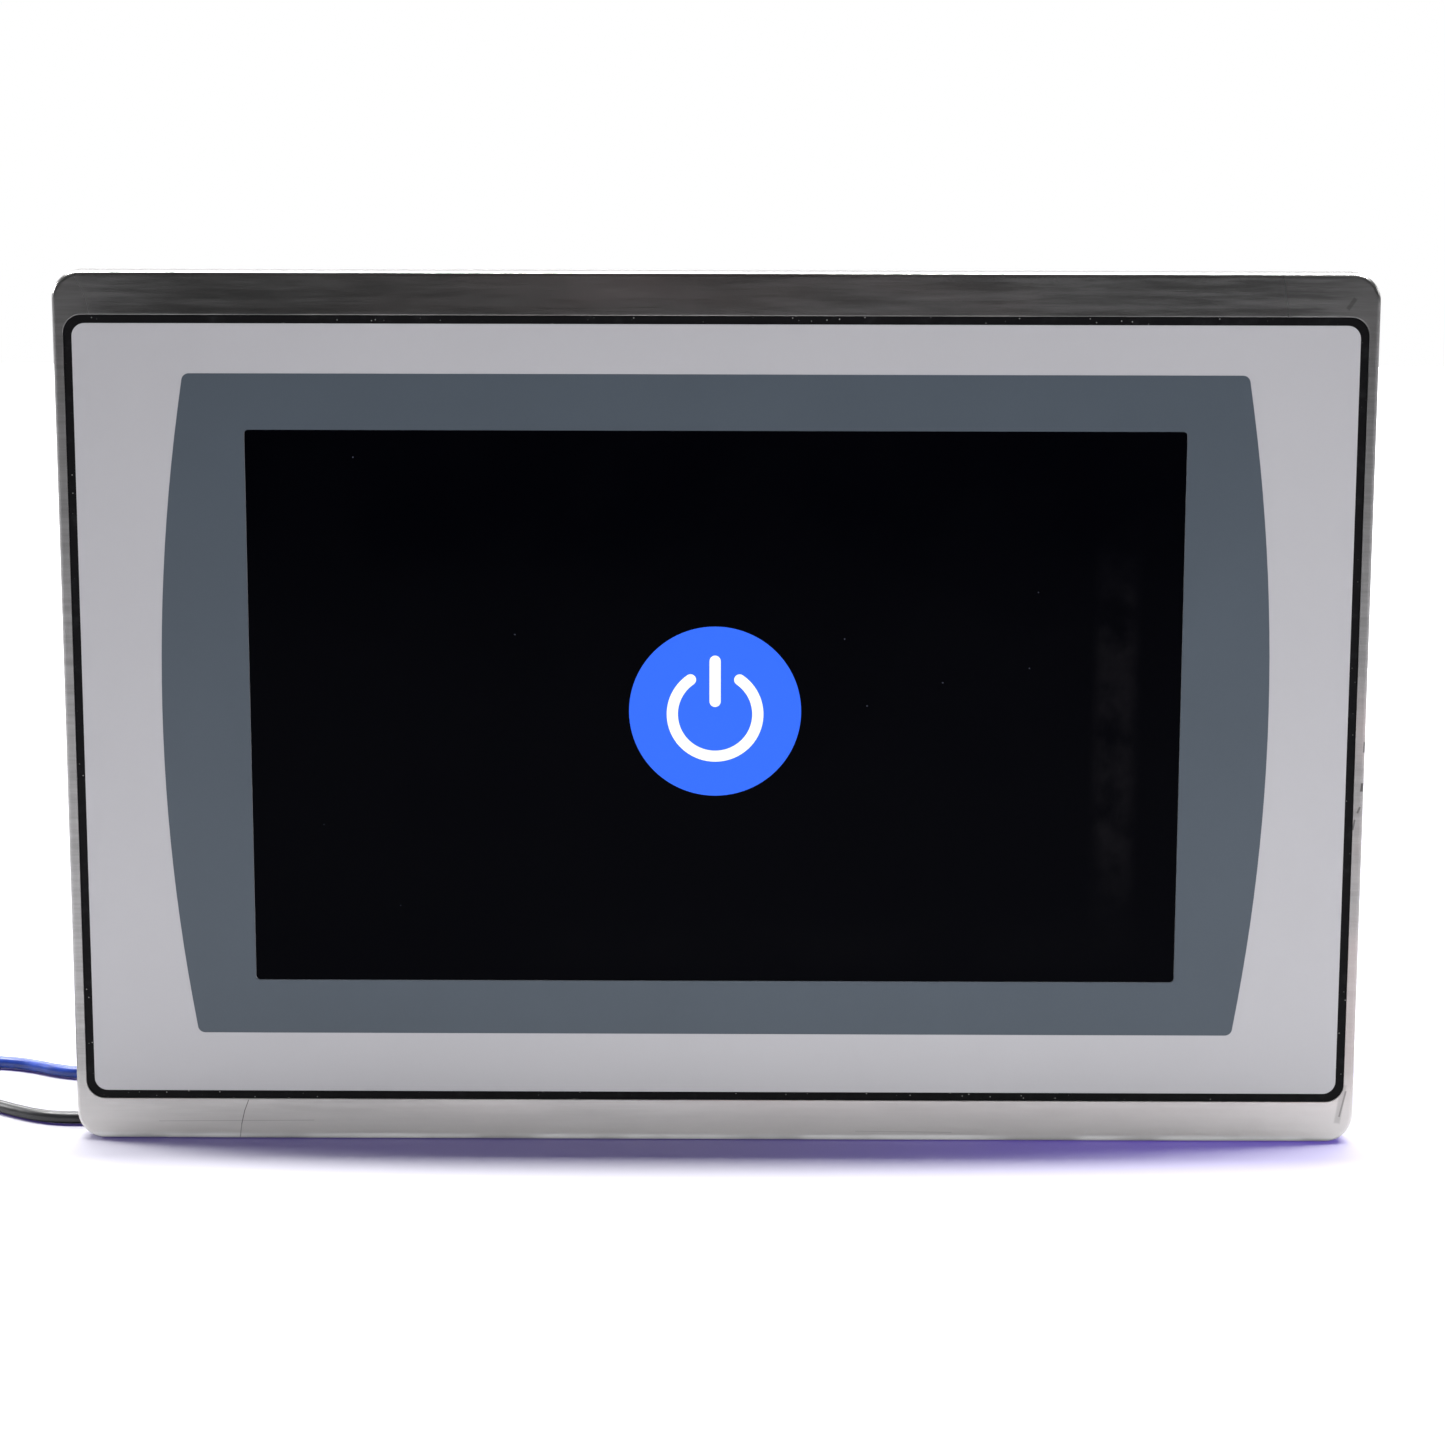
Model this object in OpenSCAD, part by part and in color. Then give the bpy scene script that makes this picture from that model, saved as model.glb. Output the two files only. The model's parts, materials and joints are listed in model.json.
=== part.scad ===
// Panel-mount operator terminal with a touch screen, standing upright on the lower edge of its
// bezel and on the grips of its two lower mounting levers. X is right, Y is back, Z is up.
// The face looks along -Y. The origin is on the floor under the centre of the terminal.

/* [Bezel] */
// Width of the stainless front bezel
bezel_w = 280; // [278:1:290]
// Height of the bezel
bezel_h = 190; // [189:1:196]
// Thickness of the bezel
bezel_t = 6; // [5.5:0.5:7]
// Corner radius of the bezel
bezel_r = 6; // [4:0.5:8]
// Radius of the rounded front edge
edge_r = 1; // [0.6:0.1:1.4]
// Width of the milled seat for the window
seat_w = 275.5; // [274:0.5:276]
// Height of the milled seat
seat_h = 171.6; // [170:0.2:172]
// Width of the black sealing bead round the window
bead_w = 1.8; // [1.2:0.1:2.4]

/* [Display] */
// Width of the visible screen
screen_w = 200; // [190:1:204]
// Height of the visible screen
screen_h = 120.4; // [110:0.2:122]
// Height of the screen's centre above the bezel's centre
screen_up = 1.3; // [0:0.1:3]

/* [Housing] */
// Depth from the front face to the tips of the cooling ribs
total_d = 69.6; // [68:0.2:74]
// Width of the cast rear housing
case_w = 250; // [248:1:252]
// Height of the rear housing
case_h = 160; // [158:1:162]
// Wall thickness of the housing
wall = 2.5; // [2:0.1:2.6]
// Half the width of the connector bay in the lower rear
bay_x = 90; // [88:1:92]
// Height of the connector bay above the housing's underside
bay_h = 45; // [44:1:48]
// Depth of the cooling ribs
rib_d = 4.8; // [3:0.2:5]

/* [Levers and leads] */
// Distance of the upper and lower lever pivots from the centre line
lever_x = 107; // [104:1:108]
// Distance of a lever's nose tip from its pivot
nose_l = 22.5; // [20:0.5:23]
// Distance of a lever's grip tip from its pivot
grip_l = 22; // [18:0.5:23]
// Outer diameter of one supply lead
lead_d = 2.8; // [2:0.1:3]

/* [Hidden] */
$fn = 48;

e = 0.01;                              // cutters reach this far past a face
mid_z = bezel_h / 2;                   // height of the bezel's centre
screen_z = mid_z + screen_up;          // height of the screen's centre

// Depths, front to back
front_y = -total_d / 2;
flange_y = front_y + bezel_t;          // rear face of the bezel
seat_y = front_y + 2.2;                // floor of the window seat
film_y = front_y + 0.2;                // front of the printed film
glass_y = film_y + 0.3;                // front of the touch glass
lcd_y = seat_y + 0.4;                  // front of the display module
bracket_y = lcd_y + 7.4;               // front of the display bracket
bracket_t = 1.5;
bay_y = flange_y + 14.8;               // rear-facing wall of the connector bay
pcb_y = bay_y + 2;                     // front of the main board
pcb_t = 1.6;
parts_y = pcb_y + pcb_t;               // rear of the main board, where its parts stand
cover_y = total_d / 2 - rib_d - 2.2;   // where the rear cover seats
plate_y = total_d / 2 - rib_d;         // outer face of the rear cover's plate

// Housing heights
case_z0 = mid_z - case_h / 2;
case_z1 = mid_z + case_h / 2;
ledge_z = case_z0 + bay_h;             // underside of the ledge over the bay

// Window opening of the bezel and the display module
open_w = screen_w + 20;
open_h = screen_h + 19.6;
lcd_w = screen_w + 16;
lcd_h = screen_h + 13.6;

// Sealing gasket on the flange
gasket_w = case_w + 16;
gasket_h = case_h + 16;
gasket_b = 5;
groove_d = 1.2;
gasket_proud = 0.8;

// Lever pivots
pivot_y = bay_y + 10;
lever_gap = 0.3;                       // lever's clearance from the housing
lever_t = 4;
overhang = case_z0;                    // bezel's overhang, which the lower grips also reach
short_reach = overhang - 3;            // how far the other grips stand out
pivot_r = 3;
run = 0.05;                            // radial clearance of a running fit

// Power plug and header
plug_x = -70;
pitch = 5.08;
plug_z0 = 28;
plug_z1 = 46;
header_z = 37;
slack = 0.2;                           // clearance of a plug in its socket

// Memory card and its door, on the right-hand wall
card_z = 140;
card_y = parts_y + 2.6;
card_l = 32;
card_h = 24;
card_t = 2.1;
door_h = 32;
door_d = 15;
door_t = 1.5;
door_y0 = card_y - 6;
hinge_y = door_y0 + door_d + 2;
hinge_x = case_w / 2 - 1;
hinge_r = 1.4;
pin_r = 0.7;

// Free lengths of the two leads: through the plug, down to the floor and out to the coils
blue_route = [
    [-70, -2, 32], [-70, -2, 26], [-70, -1.6, 20], [-70, 0, 13.5], [-70.2, 4, 7.5],
    [-70.8, 9.5, 3.2], [-72.4, 15.6, 1.5], [-76.4, 21.2, 1.4], [-83, 25.6, 1.4],
    [-91, 28.2, 1.4], [-99.5, 29, 1.4], [-108, 28.4, 1.4], [-116, 26.2, 1.4],
    [-124, 22.4, 1.4], [-132, 17.8, 1.4], [-139.5, 13.4, 1.4], [-146, 11.4, 1.4],
    [-152.6, 13, 1.4], [-158, 16.2, 1.4], [-163.2, 18.7, 1.4], [-169, 19.9, 1.4],
    [-176.5, 20.4, 1.4], [-184, 21, 1.4], [-192, 21.6, 1.4], [-200, 21.8, 1.4]];
black_route = [
    [-75, -2, 32], [-75, -2, 26], [-75, -2.6, 20], [-75.4, -4.6, 14], [-77, -8, 8.4],
    [-80, -11.8, 4.2], [-85, -14.8, 1.8], [-91.5, -16.6, 1.4], [-99, -17.8, 1.4],
    [-107, -18.6, 1.4], [-115, -19.4, 1.4], [-123, -20.8, 1.4], [-131, -22.6, 1.4],
    [-138.5, -23.8, 1.4], [-145.6, -23.8, 1.4], [-151, -22.2, 1.4], [-156, -19.2, 1.4],
    [-161, -15.4, 1.4], [-167, -10.8, 1.4], [-173, -5.8, 1.4], [-179.5, -0.4, 1.4],
    [-186, 4.4, 1.4], [-193, 7.4, 1.4], [-200, 8.2, 1.4]];
// Two layers of turns, which the lead joins and leaves along its outermost turn
coil_x = -200;
blue_coil_y = 40;
black_coil_y = -10;
coil_turn_r = 18.2;                    // centreline radius of the outermost turn
coil_inner_r = 10.9;                   // radius of the hole in the coil
// The black lead's last stretch leaves its coil's upper layer and comes down to the floor; the
// blue lead's is its mirror image
tail_route = [[-18.2, 0, 4.2], [-18.2, -6, 4], [-18.2, -12, 2.6], [-18.2, -18, 1.4],
    [-18.2, -24, 1.4]];

// ---- shared shapes ----

// Drawing in the X-Z plane, given depth from y0 back to y1
module slab(y0, y1) {
    translate([0, y1, 0]) rotate([90, 0, 0]) linear_extrude(y1 - y0) children();
}

module round_rect(w, h, r) {
    square([w - 2 * r, h], center = true);
    square([w, h - 2 * r], center = true);
    for (sx = [-1, 1], sz = [-1, 1])
        translate([sx * (w / 2 - r), sz * (h / 2 - r)]) circle(r);
}

// Box given by its low corner and its high corner
module block(low, high) {
    translate(low) cube(high - low);
}

module rod_x(x0, x1, y, z, r) {
    translate([x0, y, z]) rotate([0, 90, 0]) cylinder(r = r, h = x1 - x0);
}

module rod_y(y0, y1, x, z, r) {
    translate([x, y1, z]) rotate([90, 0, 0]) cylinder(r = r, h = y1 - y0);
}

module rod_z(z0, z1, x, y, r) {
    translate([x, y, z0]) cylinder(r = r, h = z1 - z0);
}

// Two circles on one line joined by flanks that lie just inside their outer tangents
module tapered_arm(r1, r2, d) {
    a = acos((r1 - r2) / d);
    c = 0.985 * cos(a);
    s = 0.985 * sin(a);
    circle(r1);
    translate([d, 0]) circle(r2);
    polygon([[r1 * c, r1 * s], [r1 * c, -r1 * s], [d + r2 * c, -r2 * s], [d + r2 * c, r2 * s]]);
}

// Pan-head screw along +Y from its tip; the head stands past y1
module screw_y(x, z, y0, y1, r, head_r, head_h) {
    difference() {
        union() {
            rod_y(y0, y1 + e, x, z, r);
            rod_y(y1, y1 + head_h, x, z, head_r);
        }
        for (turn = [0, 90])
            translate([x, y1 + head_h, z]) rotate([0, turn, 0])
                cube([head_r * 1.1, head_h, head_r * 0.28], center = true);
    }
}

// One round strand swept along a list of points, with sides corners on each ring
function unit(v) = v / norm(v);
function along(p, i) = unit(p[min(i + 1, len(p) - 1)] - p[max(i - 1, 0)]);
function side(t) = abs(t[2]) > 0.9 ? unit(cross(t, [0, 1, 0])) : unit(cross(t, [0, 0, 1]));
// carries the side direction from ring to ring so that the strand never twists
function frames(p, i = 0, last = undef) =
    let (t = along(p, i), s = last == undef ? side(t) : unit(last - t * (last * t)))
    i == len(p) - 1 ? [[s, cross(t, s)]] : concat([[s, cross(t, s)]], frames(p, i + 1, s));
function ring(c, f, r, sides) =
    [for (k = [0 : sides - 1]) let (a = 360 * (k + 0.5) / sides)
        c + r * cos(a) * f[0] + r * sin(a) * f[1]];

module strand(p, r, sides = 8) {
    f = frames(p);
    n = len(p);
    points = [for (i = [0 : n - 1]) for (q = ring(p[i], f[i], r, sides)) q];
    walls = [for (i = [0 : n - 2], k = [0 : sides - 1]) let (m = (k + 1) % sides)
        [i * sides + k, i * sides + m, (i + 1) * sides + m, (i + 1) * sides + k]];
    first = [[for (k = [sides - 1 : -1 : 0]) k]];
    far = [[for (k = [0 : sides - 1]) (n - 1) * sides + k]];
    polyhedron(points, concat(first, walls, far));
}

// ---- front ----

// Outline plate with a rounded front edge
module rounded_plate(w, h, r, y0, y1) {
    slab(y0 + edge_r, y1) round_rect(w, h, r);
    slab(y0, y1) round_rect(w - 2 * edge_r, h - 2 * edge_r, r - edge_r);
    straight_w = w - 2 * r;
    straight_h = h - 2 * r;
    for (s = [-1, 1]) {
        rod_x(-straight_w / 2, straight_w / 2, y0 + edge_r, s * (h / 2 - edge_r), edge_r);
        rod_z(-straight_h / 2, straight_h / 2, s * (w / 2 - edge_r), y0 + edge_r, edge_r);
    }
    for (sx = [-1, 1], sz = [-1, 1])
        translate([sx * straight_w / 2, y0 + edge_r, sz * straight_h / 2]) rotate([90, 0, 0])
            rotate_extrude() translate([r - edge_r, 0]) intersection() {
                circle(edge_r);
                translate([0, -edge_r]) square([edge_r, 2 * edge_r]);
            }
}

module front_bezel() {
    color("silver") difference() {
        translate([0, 0, mid_z])
            rounded_plate(bezel_w, bezel_h, bezel_r, front_y, flange_y);
        translate([0, 0, mid_z]) slab(front_y - e, seat_y) round_rect(seat_w, seat_h, 4);
        translate([0, 0, screen_z]) slab(seat_y - e, flange_y + e)
            round_rect(open_w, open_h, 4);
        translate([0, 0, mid_z]) slab(flange_y - groove_d, flange_y + e) difference() {
            round_rect(gasket_w, gasket_h, 5);
            round_rect(gasket_w - 2 * gasket_b, gasket_h - 2 * gasket_b, 3);
        }
        for (p = bezel_screw_at) rod_y(seat_y + 0.8, flange_y + e, p[0], p[1], 1.25);
        for (p = display_screw_at) rod_y(seat_y + 0.8, flange_y + e, p[0], p[1], 1.25);
    }
}

module window_seal() {
    color("black") translate([0, 0, mid_z]) slab(front_y + 0.3, seat_y) difference() {
        round_rect(seat_w, seat_h, 4);
        round_rect(seat_w - 2 * bead_w, seat_h - 2 * bead_w, 2.8);
    }
}

module front_film() {
    color("lightgray") slab(film_y, glass_y) difference() {
        translate([0, mid_z]) round_rect(seat_w - 2 * bead_w, seat_h - 2 * bead_w, 2.8);
        translate([0, screen_z]) round_rect(screen_w, screen_h, 0.9);
    }
}

module touch_glass() {
    color("black") translate([0, 0, mid_z]) slab(glass_y, seat_y)
        round_rect(seat_w - 2 * bead_w, seat_h - 2 * bead_w, 2.8);
}

module panel_gasket() {
    color("dimgray") translate([0, 0, mid_z])
        slab(flange_y - groove_d, flange_y + gasket_proud) difference() {
            round_rect(gasket_w, gasket_h, 5);
            round_rect(gasket_w - 2 * gasket_b, gasket_h - 2 * gasket_b, 3);
        }
}

// ---- display module ----

module lcd_frame() {
    color("lightsteelblue") translate([0, 0, screen_z]) difference() {
        slab(lcd_y, bracket_y) round_rect(lcd_w, lcd_h, 1.5);
        slab(lcd_y - e, lcd_y + 1) round_rect(screen_w + 1, screen_h + 1, 0.5);
        slab(lcd_y + 0.6, bracket_y + e) round_rect(lcd_w - 1.6, lcd_h - 1.6, 0.8);
    }
}

module lcd_cell() {
    color("black") translate([0, 0, screen_z])
        slab(lcd_y + 0.6, lcd_y + 2) square([lcd_w - 2, lcd_h - 2], center = true);
}

module backlight() {
    color("white") translate([0, 0, screen_z]) {
        slab(lcd_y + 2, bracket_y - 0.6) square([lcd_w - 3, lcd_h - 3], center = true);
        slab(bracket_y - 0.6 - e, bracket_y) square([lcd_w - 40, 12], center = true);
    }
}

bracket_w = open_w + 4;
bracket_h = open_h - 4;
display_screw_at = [for (sx = [-1, 1], z = [21.8, 168.2]) [sx * 85, z]];

module display_bracket() {
    color("gainsboro") difference() {
        union() {
            translate([0, 0, screen_z]) slab(bracket_y, bracket_y + bracket_t)
                round_rect(bracket_w, bracket_h, 3);
            for (p = display_screw_at) {
                inner_z = p[1] < mid_z ? p[1] + 9 : p[1] - 9;
                slab(bracket_y, bracket_y + bracket_t) translate([p[0], (p[1] + inner_z) / 2])
                    square([9, 9], center = true);
                rod_y(flange_y, bracket_y + bracket_t, p[0], p[1], 4.2);
            }
        }
        for (p = display_screw_at)
            rod_y(flange_y - e, bracket_y + bracket_t + e, p[0], p[1], 1.6);
        // windows for the display's cable and for lightness
        for (x = [-75, 0, 75])
            translate([x, 0, screen_z + 42]) slab(bracket_y - e, bracket_y + bracket_t + e)
                round_rect(42, 18, 3);
        for (x = [12, 68])
            translate([x, 0, screen_z - 42]) slab(bracket_y - e, bracket_y + bracket_t + e)
                round_rect(42, 18, 3);
        for (p = board_at) rod_y(bracket_y - e, bracket_y + bracket_t + e, p[0], p[1], 1.25);
    }
}

module display_screws() {
    color("silver") for (p = display_screw_at)
        screw_y(p[0], p[1], seat_y + 1, bracket_y + bracket_t, 1.25, 2.8, 1.8);
}

// ---- main board and what stands on it ----

board_w = 220;
board_z0 = ledge_z + 5;
board_z1 = case_z1 - 8;
board_at = [for (x = [-100, 0, 100], z = [board_z0 + 26, board_z1 - 6]) [x, z]];

module main_board() {
    color("darkgreen") slab(pcb_y, parts_y) difference() {
        translate([0, (board_z0 + board_z1) / 2]) round_rect(board_w, board_z1 - board_z0, 2);
        for (p = board_at) translate(p) circle(1.6);
    }
}

module board_standoffs() {
    color("goldenrod") for (p = board_at) difference() {
        slab(bracket_y + bracket_t, pcb_y) translate(p) circle(3, $fn = 6);
        rod_y(bracket_y + 3, pcb_y + e, p[0], p[1], 1.25);
    }
}

module board_screws() {
    color("silver") for (p = board_at)
        screw_y(p[0], p[1], pcb_y - 5, parts_y, 1.25, 2.6, 1.8);
}

cpu_x = 18;
cpu_z = 118;

module processor() {
    color("dimgray") {
        block([cpu_x - 13.5, parts_y, cpu_z - 13.5], [cpu_x + 13.5, parts_y + 1.2, cpu_z + 13.5]);
        block([cpu_x - 9, parts_y + 1.2 - e, cpu_z - 9], [cpu_x + 9, parts_y + 2.2, cpu_z + 9]);
    }
}

module heat_sink() {
    color("gray") {
        block([cpu_x - 30, parts_y + 2.2, cpu_z - 22], [cpu_x + 30, parts_y + 6, cpu_z + 22]);
        for (i = [0 : 9]) {
            x = cpu_x - 29 + i * 6.2;
            block([x, parts_y + 6 - e, cpu_z - 22], [x + 2.2, parts_y + 20, cpu_z + 22]);
        }
    }
}

module memory_chips() {
    color("black") for (z = [98, 118, 138])
        block([-30, parts_y, z - 6], [-19, parts_y + 1.2, z + 6]);
}

module power_capacitors() {
    color("dimgray") for (x = [-84, -70, -56])
        rod_y(parts_y, parts_y + 14, x, 82, 5);
}

module power_inductors() {
    color("slategray") for (x = [-80, -62])
        translate([x, 0, 102]) slab(parts_y, parts_y + 6) round_rect(12.5, 12.5, 2);
}

module battery_holder() {
    color("ivory") difference() {
        rod_y(parts_y, parts_y + 5.5, -70, 138, 12.5);
        rod_y(parts_y + 1.5, parts_y + 6, -70, 138, 10.2);
        block([-75, parts_y + 1.5, 145], [-65, parts_y + 6, 152]);
    }
}

module coin_cell() {
    color("silver") {
        rod_y(parts_y + 1.5, parts_y + 4.2, -70, 138, 10);
        rod_y(parts_y + 4.2 - e, parts_y + 4.7, -70, 138, 8.8);
    }
}

// Ganged pair of network sockets that open downwards
jack_x = [28, 46];
jack_y1 = parts_y + 13.5;

module ethernet_jacks() {
    color("lightgray") difference() {
        block([jack_x[0] - 9, parts_y, ledge_z], [jack_x[1] + 9, jack_y1, ledge_z + 22]);
        for (x = jack_x) {
            block([x - 6, parts_y + 2.2, ledge_z - e], [x + 6, parts_y + 10.4, ledge_z + 15]);
            block([x - 3.2, parts_y + 10.4 - e, ledge_z - e],
                [x + 3.2, parts_y + 12, ledge_z + 12]);
        }
    }
}

// Two stacked host sockets in one shell, opening downwards
usb_x = -4;

module usb_host_port() {
    color("silver") {
        difference() {
            block([usb_x - 7.3, parts_y, ledge_z], [usb_x + 7.3, parts_y + 16, ledge_z + 17.5]);
            for (y = [1.2, 9])
                block([usb_x - 6.3, parts_y + y, ledge_z - e],
                    [usb_x + 6.3, parts_y + y + 5.4, ledge_z + 13]);
        }
        for (y = [1.2, 9])
            block([usb_x - 5.6, parts_y + y + 0.6, ledge_z + 3],
                [usb_x + 5.6, parts_y + y + 2.6, ledge_z + 13 + e]);
    }
}

usb_dev_x = -32;

module usb_device_port() {
    color("silver") {
        difference() {
            block([usb_dev_x - 6, parts_y, ledge_z], [usb_dev_x + 6, parts_y + 11, ledge_z + 16]);
            block([usb_dev_x - 4.3, parts_y + 1.5, ledge_z - e],
                [usb_dev_x + 4.3, parts_y + 9.3, ledge_z + 12]);
        }
        block([usb_dev_x - 2.8, parts_y + 3.8, ledge_z + 3],
            [usb_dev_x + 2.8, parts_y + 7, ledge_z + 12 + e]);
    }
}

module status_lamps() {
    color("lightgreen") for (x = [66, 74]) {
        rod_z(ledge_z - 0.6, ledge_z + 8, x, parts_y + 5, 1.45);
        block([x - 1.2, parts_y, ledge_z + 5.5], [x + 1.2, parts_y + 5, ledge_z + 8]);
    }
}

// ---- memory card ----

slot_x1 = case_w / 2 - 7;              // mouth of the card slot
card_x1 = slot_x1 + 1.5;               // outer edge of the seated card

module card_slot() {
    color("silver") difference() {
        block([slot_x1 - 28, parts_y, card_z - 14.5], [slot_x1, card_y + 2.6, card_z + 14.5]);
        block([slot_x1 - 26.5, card_y - card_t / 2 - slack, card_z - card_h / 2 - slack],
            [slot_x1 + e, card_y + card_t / 2 + slack, card_z + card_h / 2 + slack]);
        block([slot_x1 - 29, card_y - card_t / 2 - slack, card_z - card_h / 2 - slack],
            [slot_x1 - 26.5 + e, card_y + card_t / 2 + slack, card_z + card_h / 2 + slack]);
    }
}

module card_outline() {
    c = 4;                             // cut corner
    polygon([[0, 0], [card_l, 0], [card_l, card_h], [c, card_h], [0, card_h - c]]);
}

module memory_card() {
    color("navy") translate([card_x1 - card_l, 0, card_z - card_h / 2])
        slab(card_y - card_t / 2, card_y + card_t / 2) card_outline();
}

door_x0 = case_w / 2 - door_t - 0.1;   // inner face of the closed door

module card_door() {
    color("darkgray") {
        difference() {
            union() {
                block([door_x0, door_y0, card_z - door_h / 2],
                    [door_x0 + door_t, hinge_y - hinge_r - 1.2, card_z + door_h / 2]);
                block([door_x0 + 0.5, hinge_y - hinge_r - 1.3, card_z - door_h / 2 + 5],
                    [door_x0 + door_t, hinge_y, card_z + door_h / 2 - 5]);
                rod_z(card_z - door_h / 2 + 5, card_z + door_h / 2 - 5, hinge_x, hinge_y, hinge_r);
            }
            rod_z(card_z - door_h, card_z + door_h, hinge_x, hinge_y, pin_r + run);
        }
        // finger lip
        rod_z(card_z - 6, card_z + 6, door_x0 + door_t, door_y0 + 2, 0.8);
    }
}

module card_door_pin() {
    color("silver") rod_z(card_z - door_h / 2 + 0.5, card_z + door_h / 2 - 0.5,
        hinge_x, hinge_y, pin_r);
}

// ---- power input ----

supply_y = bracket_y + bracket_t + 2;  // front of the small supply board
supply_y1 = supply_y + pcb_t;

module power_board() {
    color("darkgreen") slab(supply_y, supply_y1) difference() {
        translate([-64, 43]) round_rect(60, 30, 2);
        for (x = [-90, -42]) translate([x, 54]) circle(1.6);
    }
    color("darkgreen") for (x = [-90, -42])
        rod_y(bracket_y + bracket_t, supply_y + e, x, 54, 2.4);
}

header_y1 = bay_y + 5;

module power_header() {
    color("forestgreen") difference() {
        block([plug_x - 9, supply_y1, header_z - 5], [plug_x + 9, header_y1, header_z + 5]);
        block([plug_x - 8.2, bay_y - 2.6, header_z - 4.2],
            [plug_x + 8.2, header_y1 + e, header_z + 4.2]);
    }
}

module header_pins() {
    color("gold") for (i = [-1 : 1])
        block([plug_x + i * pitch - 0.5, bay_y - 2.7, header_z - 0.5],
            [plug_x + i * pitch + 0.5, header_y1 - 1, header_z + 0.5]);
}

wire_y = -2;
plug_y1 = wire_y + 7;
screw_z = 40.5;

module power_plug() {
    color("forestgreen") difference() {
        union() {
            block([plug_x - 8, bay_y - 2.2, header_z - 4], [plug_x + 8, header_y1 + 1, header_z + 4]);
            difference() {
                block([plug_x - 9, header_y1 + slack, plug_z0], [plug_x + 9, plug_y1, plug_z1]);
                // thumb bevel along the top rear edge
                translate([plug_x, plug_y1, plug_z1]) rotate([45, 0, 0])
                    cube([20, 2.8, 2.8], center = true);
            }
        }
        for (i = [-1 : 1]) {
            x = plug_x + i * pitch;
            // socket for the header pin
            block([x - 0.8, bay_y - 2.2 - e, header_z - 0.8], [x + 0.8, header_y1, header_z + 0.8]);
            // wire entry from below
            rod_z(plug_z0 - e, plug_z0 + 7, x, wire_y, 1.7);
            // screw well from behind
            rod_y(wire_y, plug_y1 + e, x, screw_z, 2.05 + run);
        }
        // ribs between the wire entries
        for (i = [-0.5, 0.5])
            block([plug_x + i * pitch - 0.3, wire_y + 3, plug_z0 - e],
                [plug_x + i * pitch + 0.3, plug_y1 + e, plug_z0 + 8]);
    }
}

module terminal_screw(i) {
    x = plug_x + i * pitch;
    color("lightgray") difference() {
        rod_y(wire_y + 0.2, plug_y1 - 1, x, screw_z, 2.05);
        translate([x, plug_y1 - 1, screw_z]) cube([3.4, 1.6, 0.7], center = true);
    }
}

reset_x = -38;
reset_z = 40;
reset_r = 1.6;

module reset_switch() {
    color("dimgray") block([reset_x - 3, supply_y1, reset_z - 3],
        [reset_x + 3, bay_y - wall - 0.7, reset_z + 3]);
}

module reset_button() {
    color("red") rod_y(bay_y - wall - 0.1, bay_y + 0.8, reset_x, reset_z, reset_r);
}

earth_x = -48;
earth_z = 32;

module earth_screw() {
    color("gold") difference() {
        union() {
            rod_y(bay_y - 5, bay_y + 1, earth_x, earth_z, 2);
            rod_y(bay_y + 0.8, bay_y + 1.8, earth_x, earth_z, 5);
            rod_y(bay_y + 1.7, bay_y + 4.4, earth_x, earth_z, 3.9);
        }
        for (turn = [0, 90])
            translate([earth_x, bay_y + 4.4, earth_z]) rotate([0, turn, 0])
                cube([5, 3, 1], center = true);
    }
}

// ---- rear housing and cover ----

bezel_screw_at = concat([for (sx = [-1, 1], z = [21, 95, 169]) [sx * 118, z]],
    [for (z = [21, 169]) [0, z]]);
cover_screw_at = concat([for (x = [-118, 0, 118]) [x, case_z1 - 7]],
    [for (x = [-118, 118]) [x, case_z0 + 7]], [for (x = [-52, 52]) [x, ledge_z + 7]]);

// Outline of the rear half: the case without the connector bay
module arch(inset, r) {
    difference() {
        translate([0, mid_z]) round_rect(case_w - 2 * inset, case_h - 2 * inset, r);
        translate([-bay_x - inset, 0]) square([2 * (bay_x + inset), ledge_z + inset]);
    }
}

module pivot_bosses(r, depth) {
    for (x = [-lever_x, lever_x]) {
        rod_z(case_z0 + 0.5, case_z0 + depth, x, pivot_y, r);
        rod_z(case_z1 - depth, case_z1 - 0.5, x, pivot_y, r);
    }
    for (s = [-1, 1]) {
        x = s * case_w / 2;
        rod_x(min(x - s * 0.5, x - s * depth), max(x - s * 0.5, x - s * depth), pivot_y, mid_z, r);
    }
}

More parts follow.
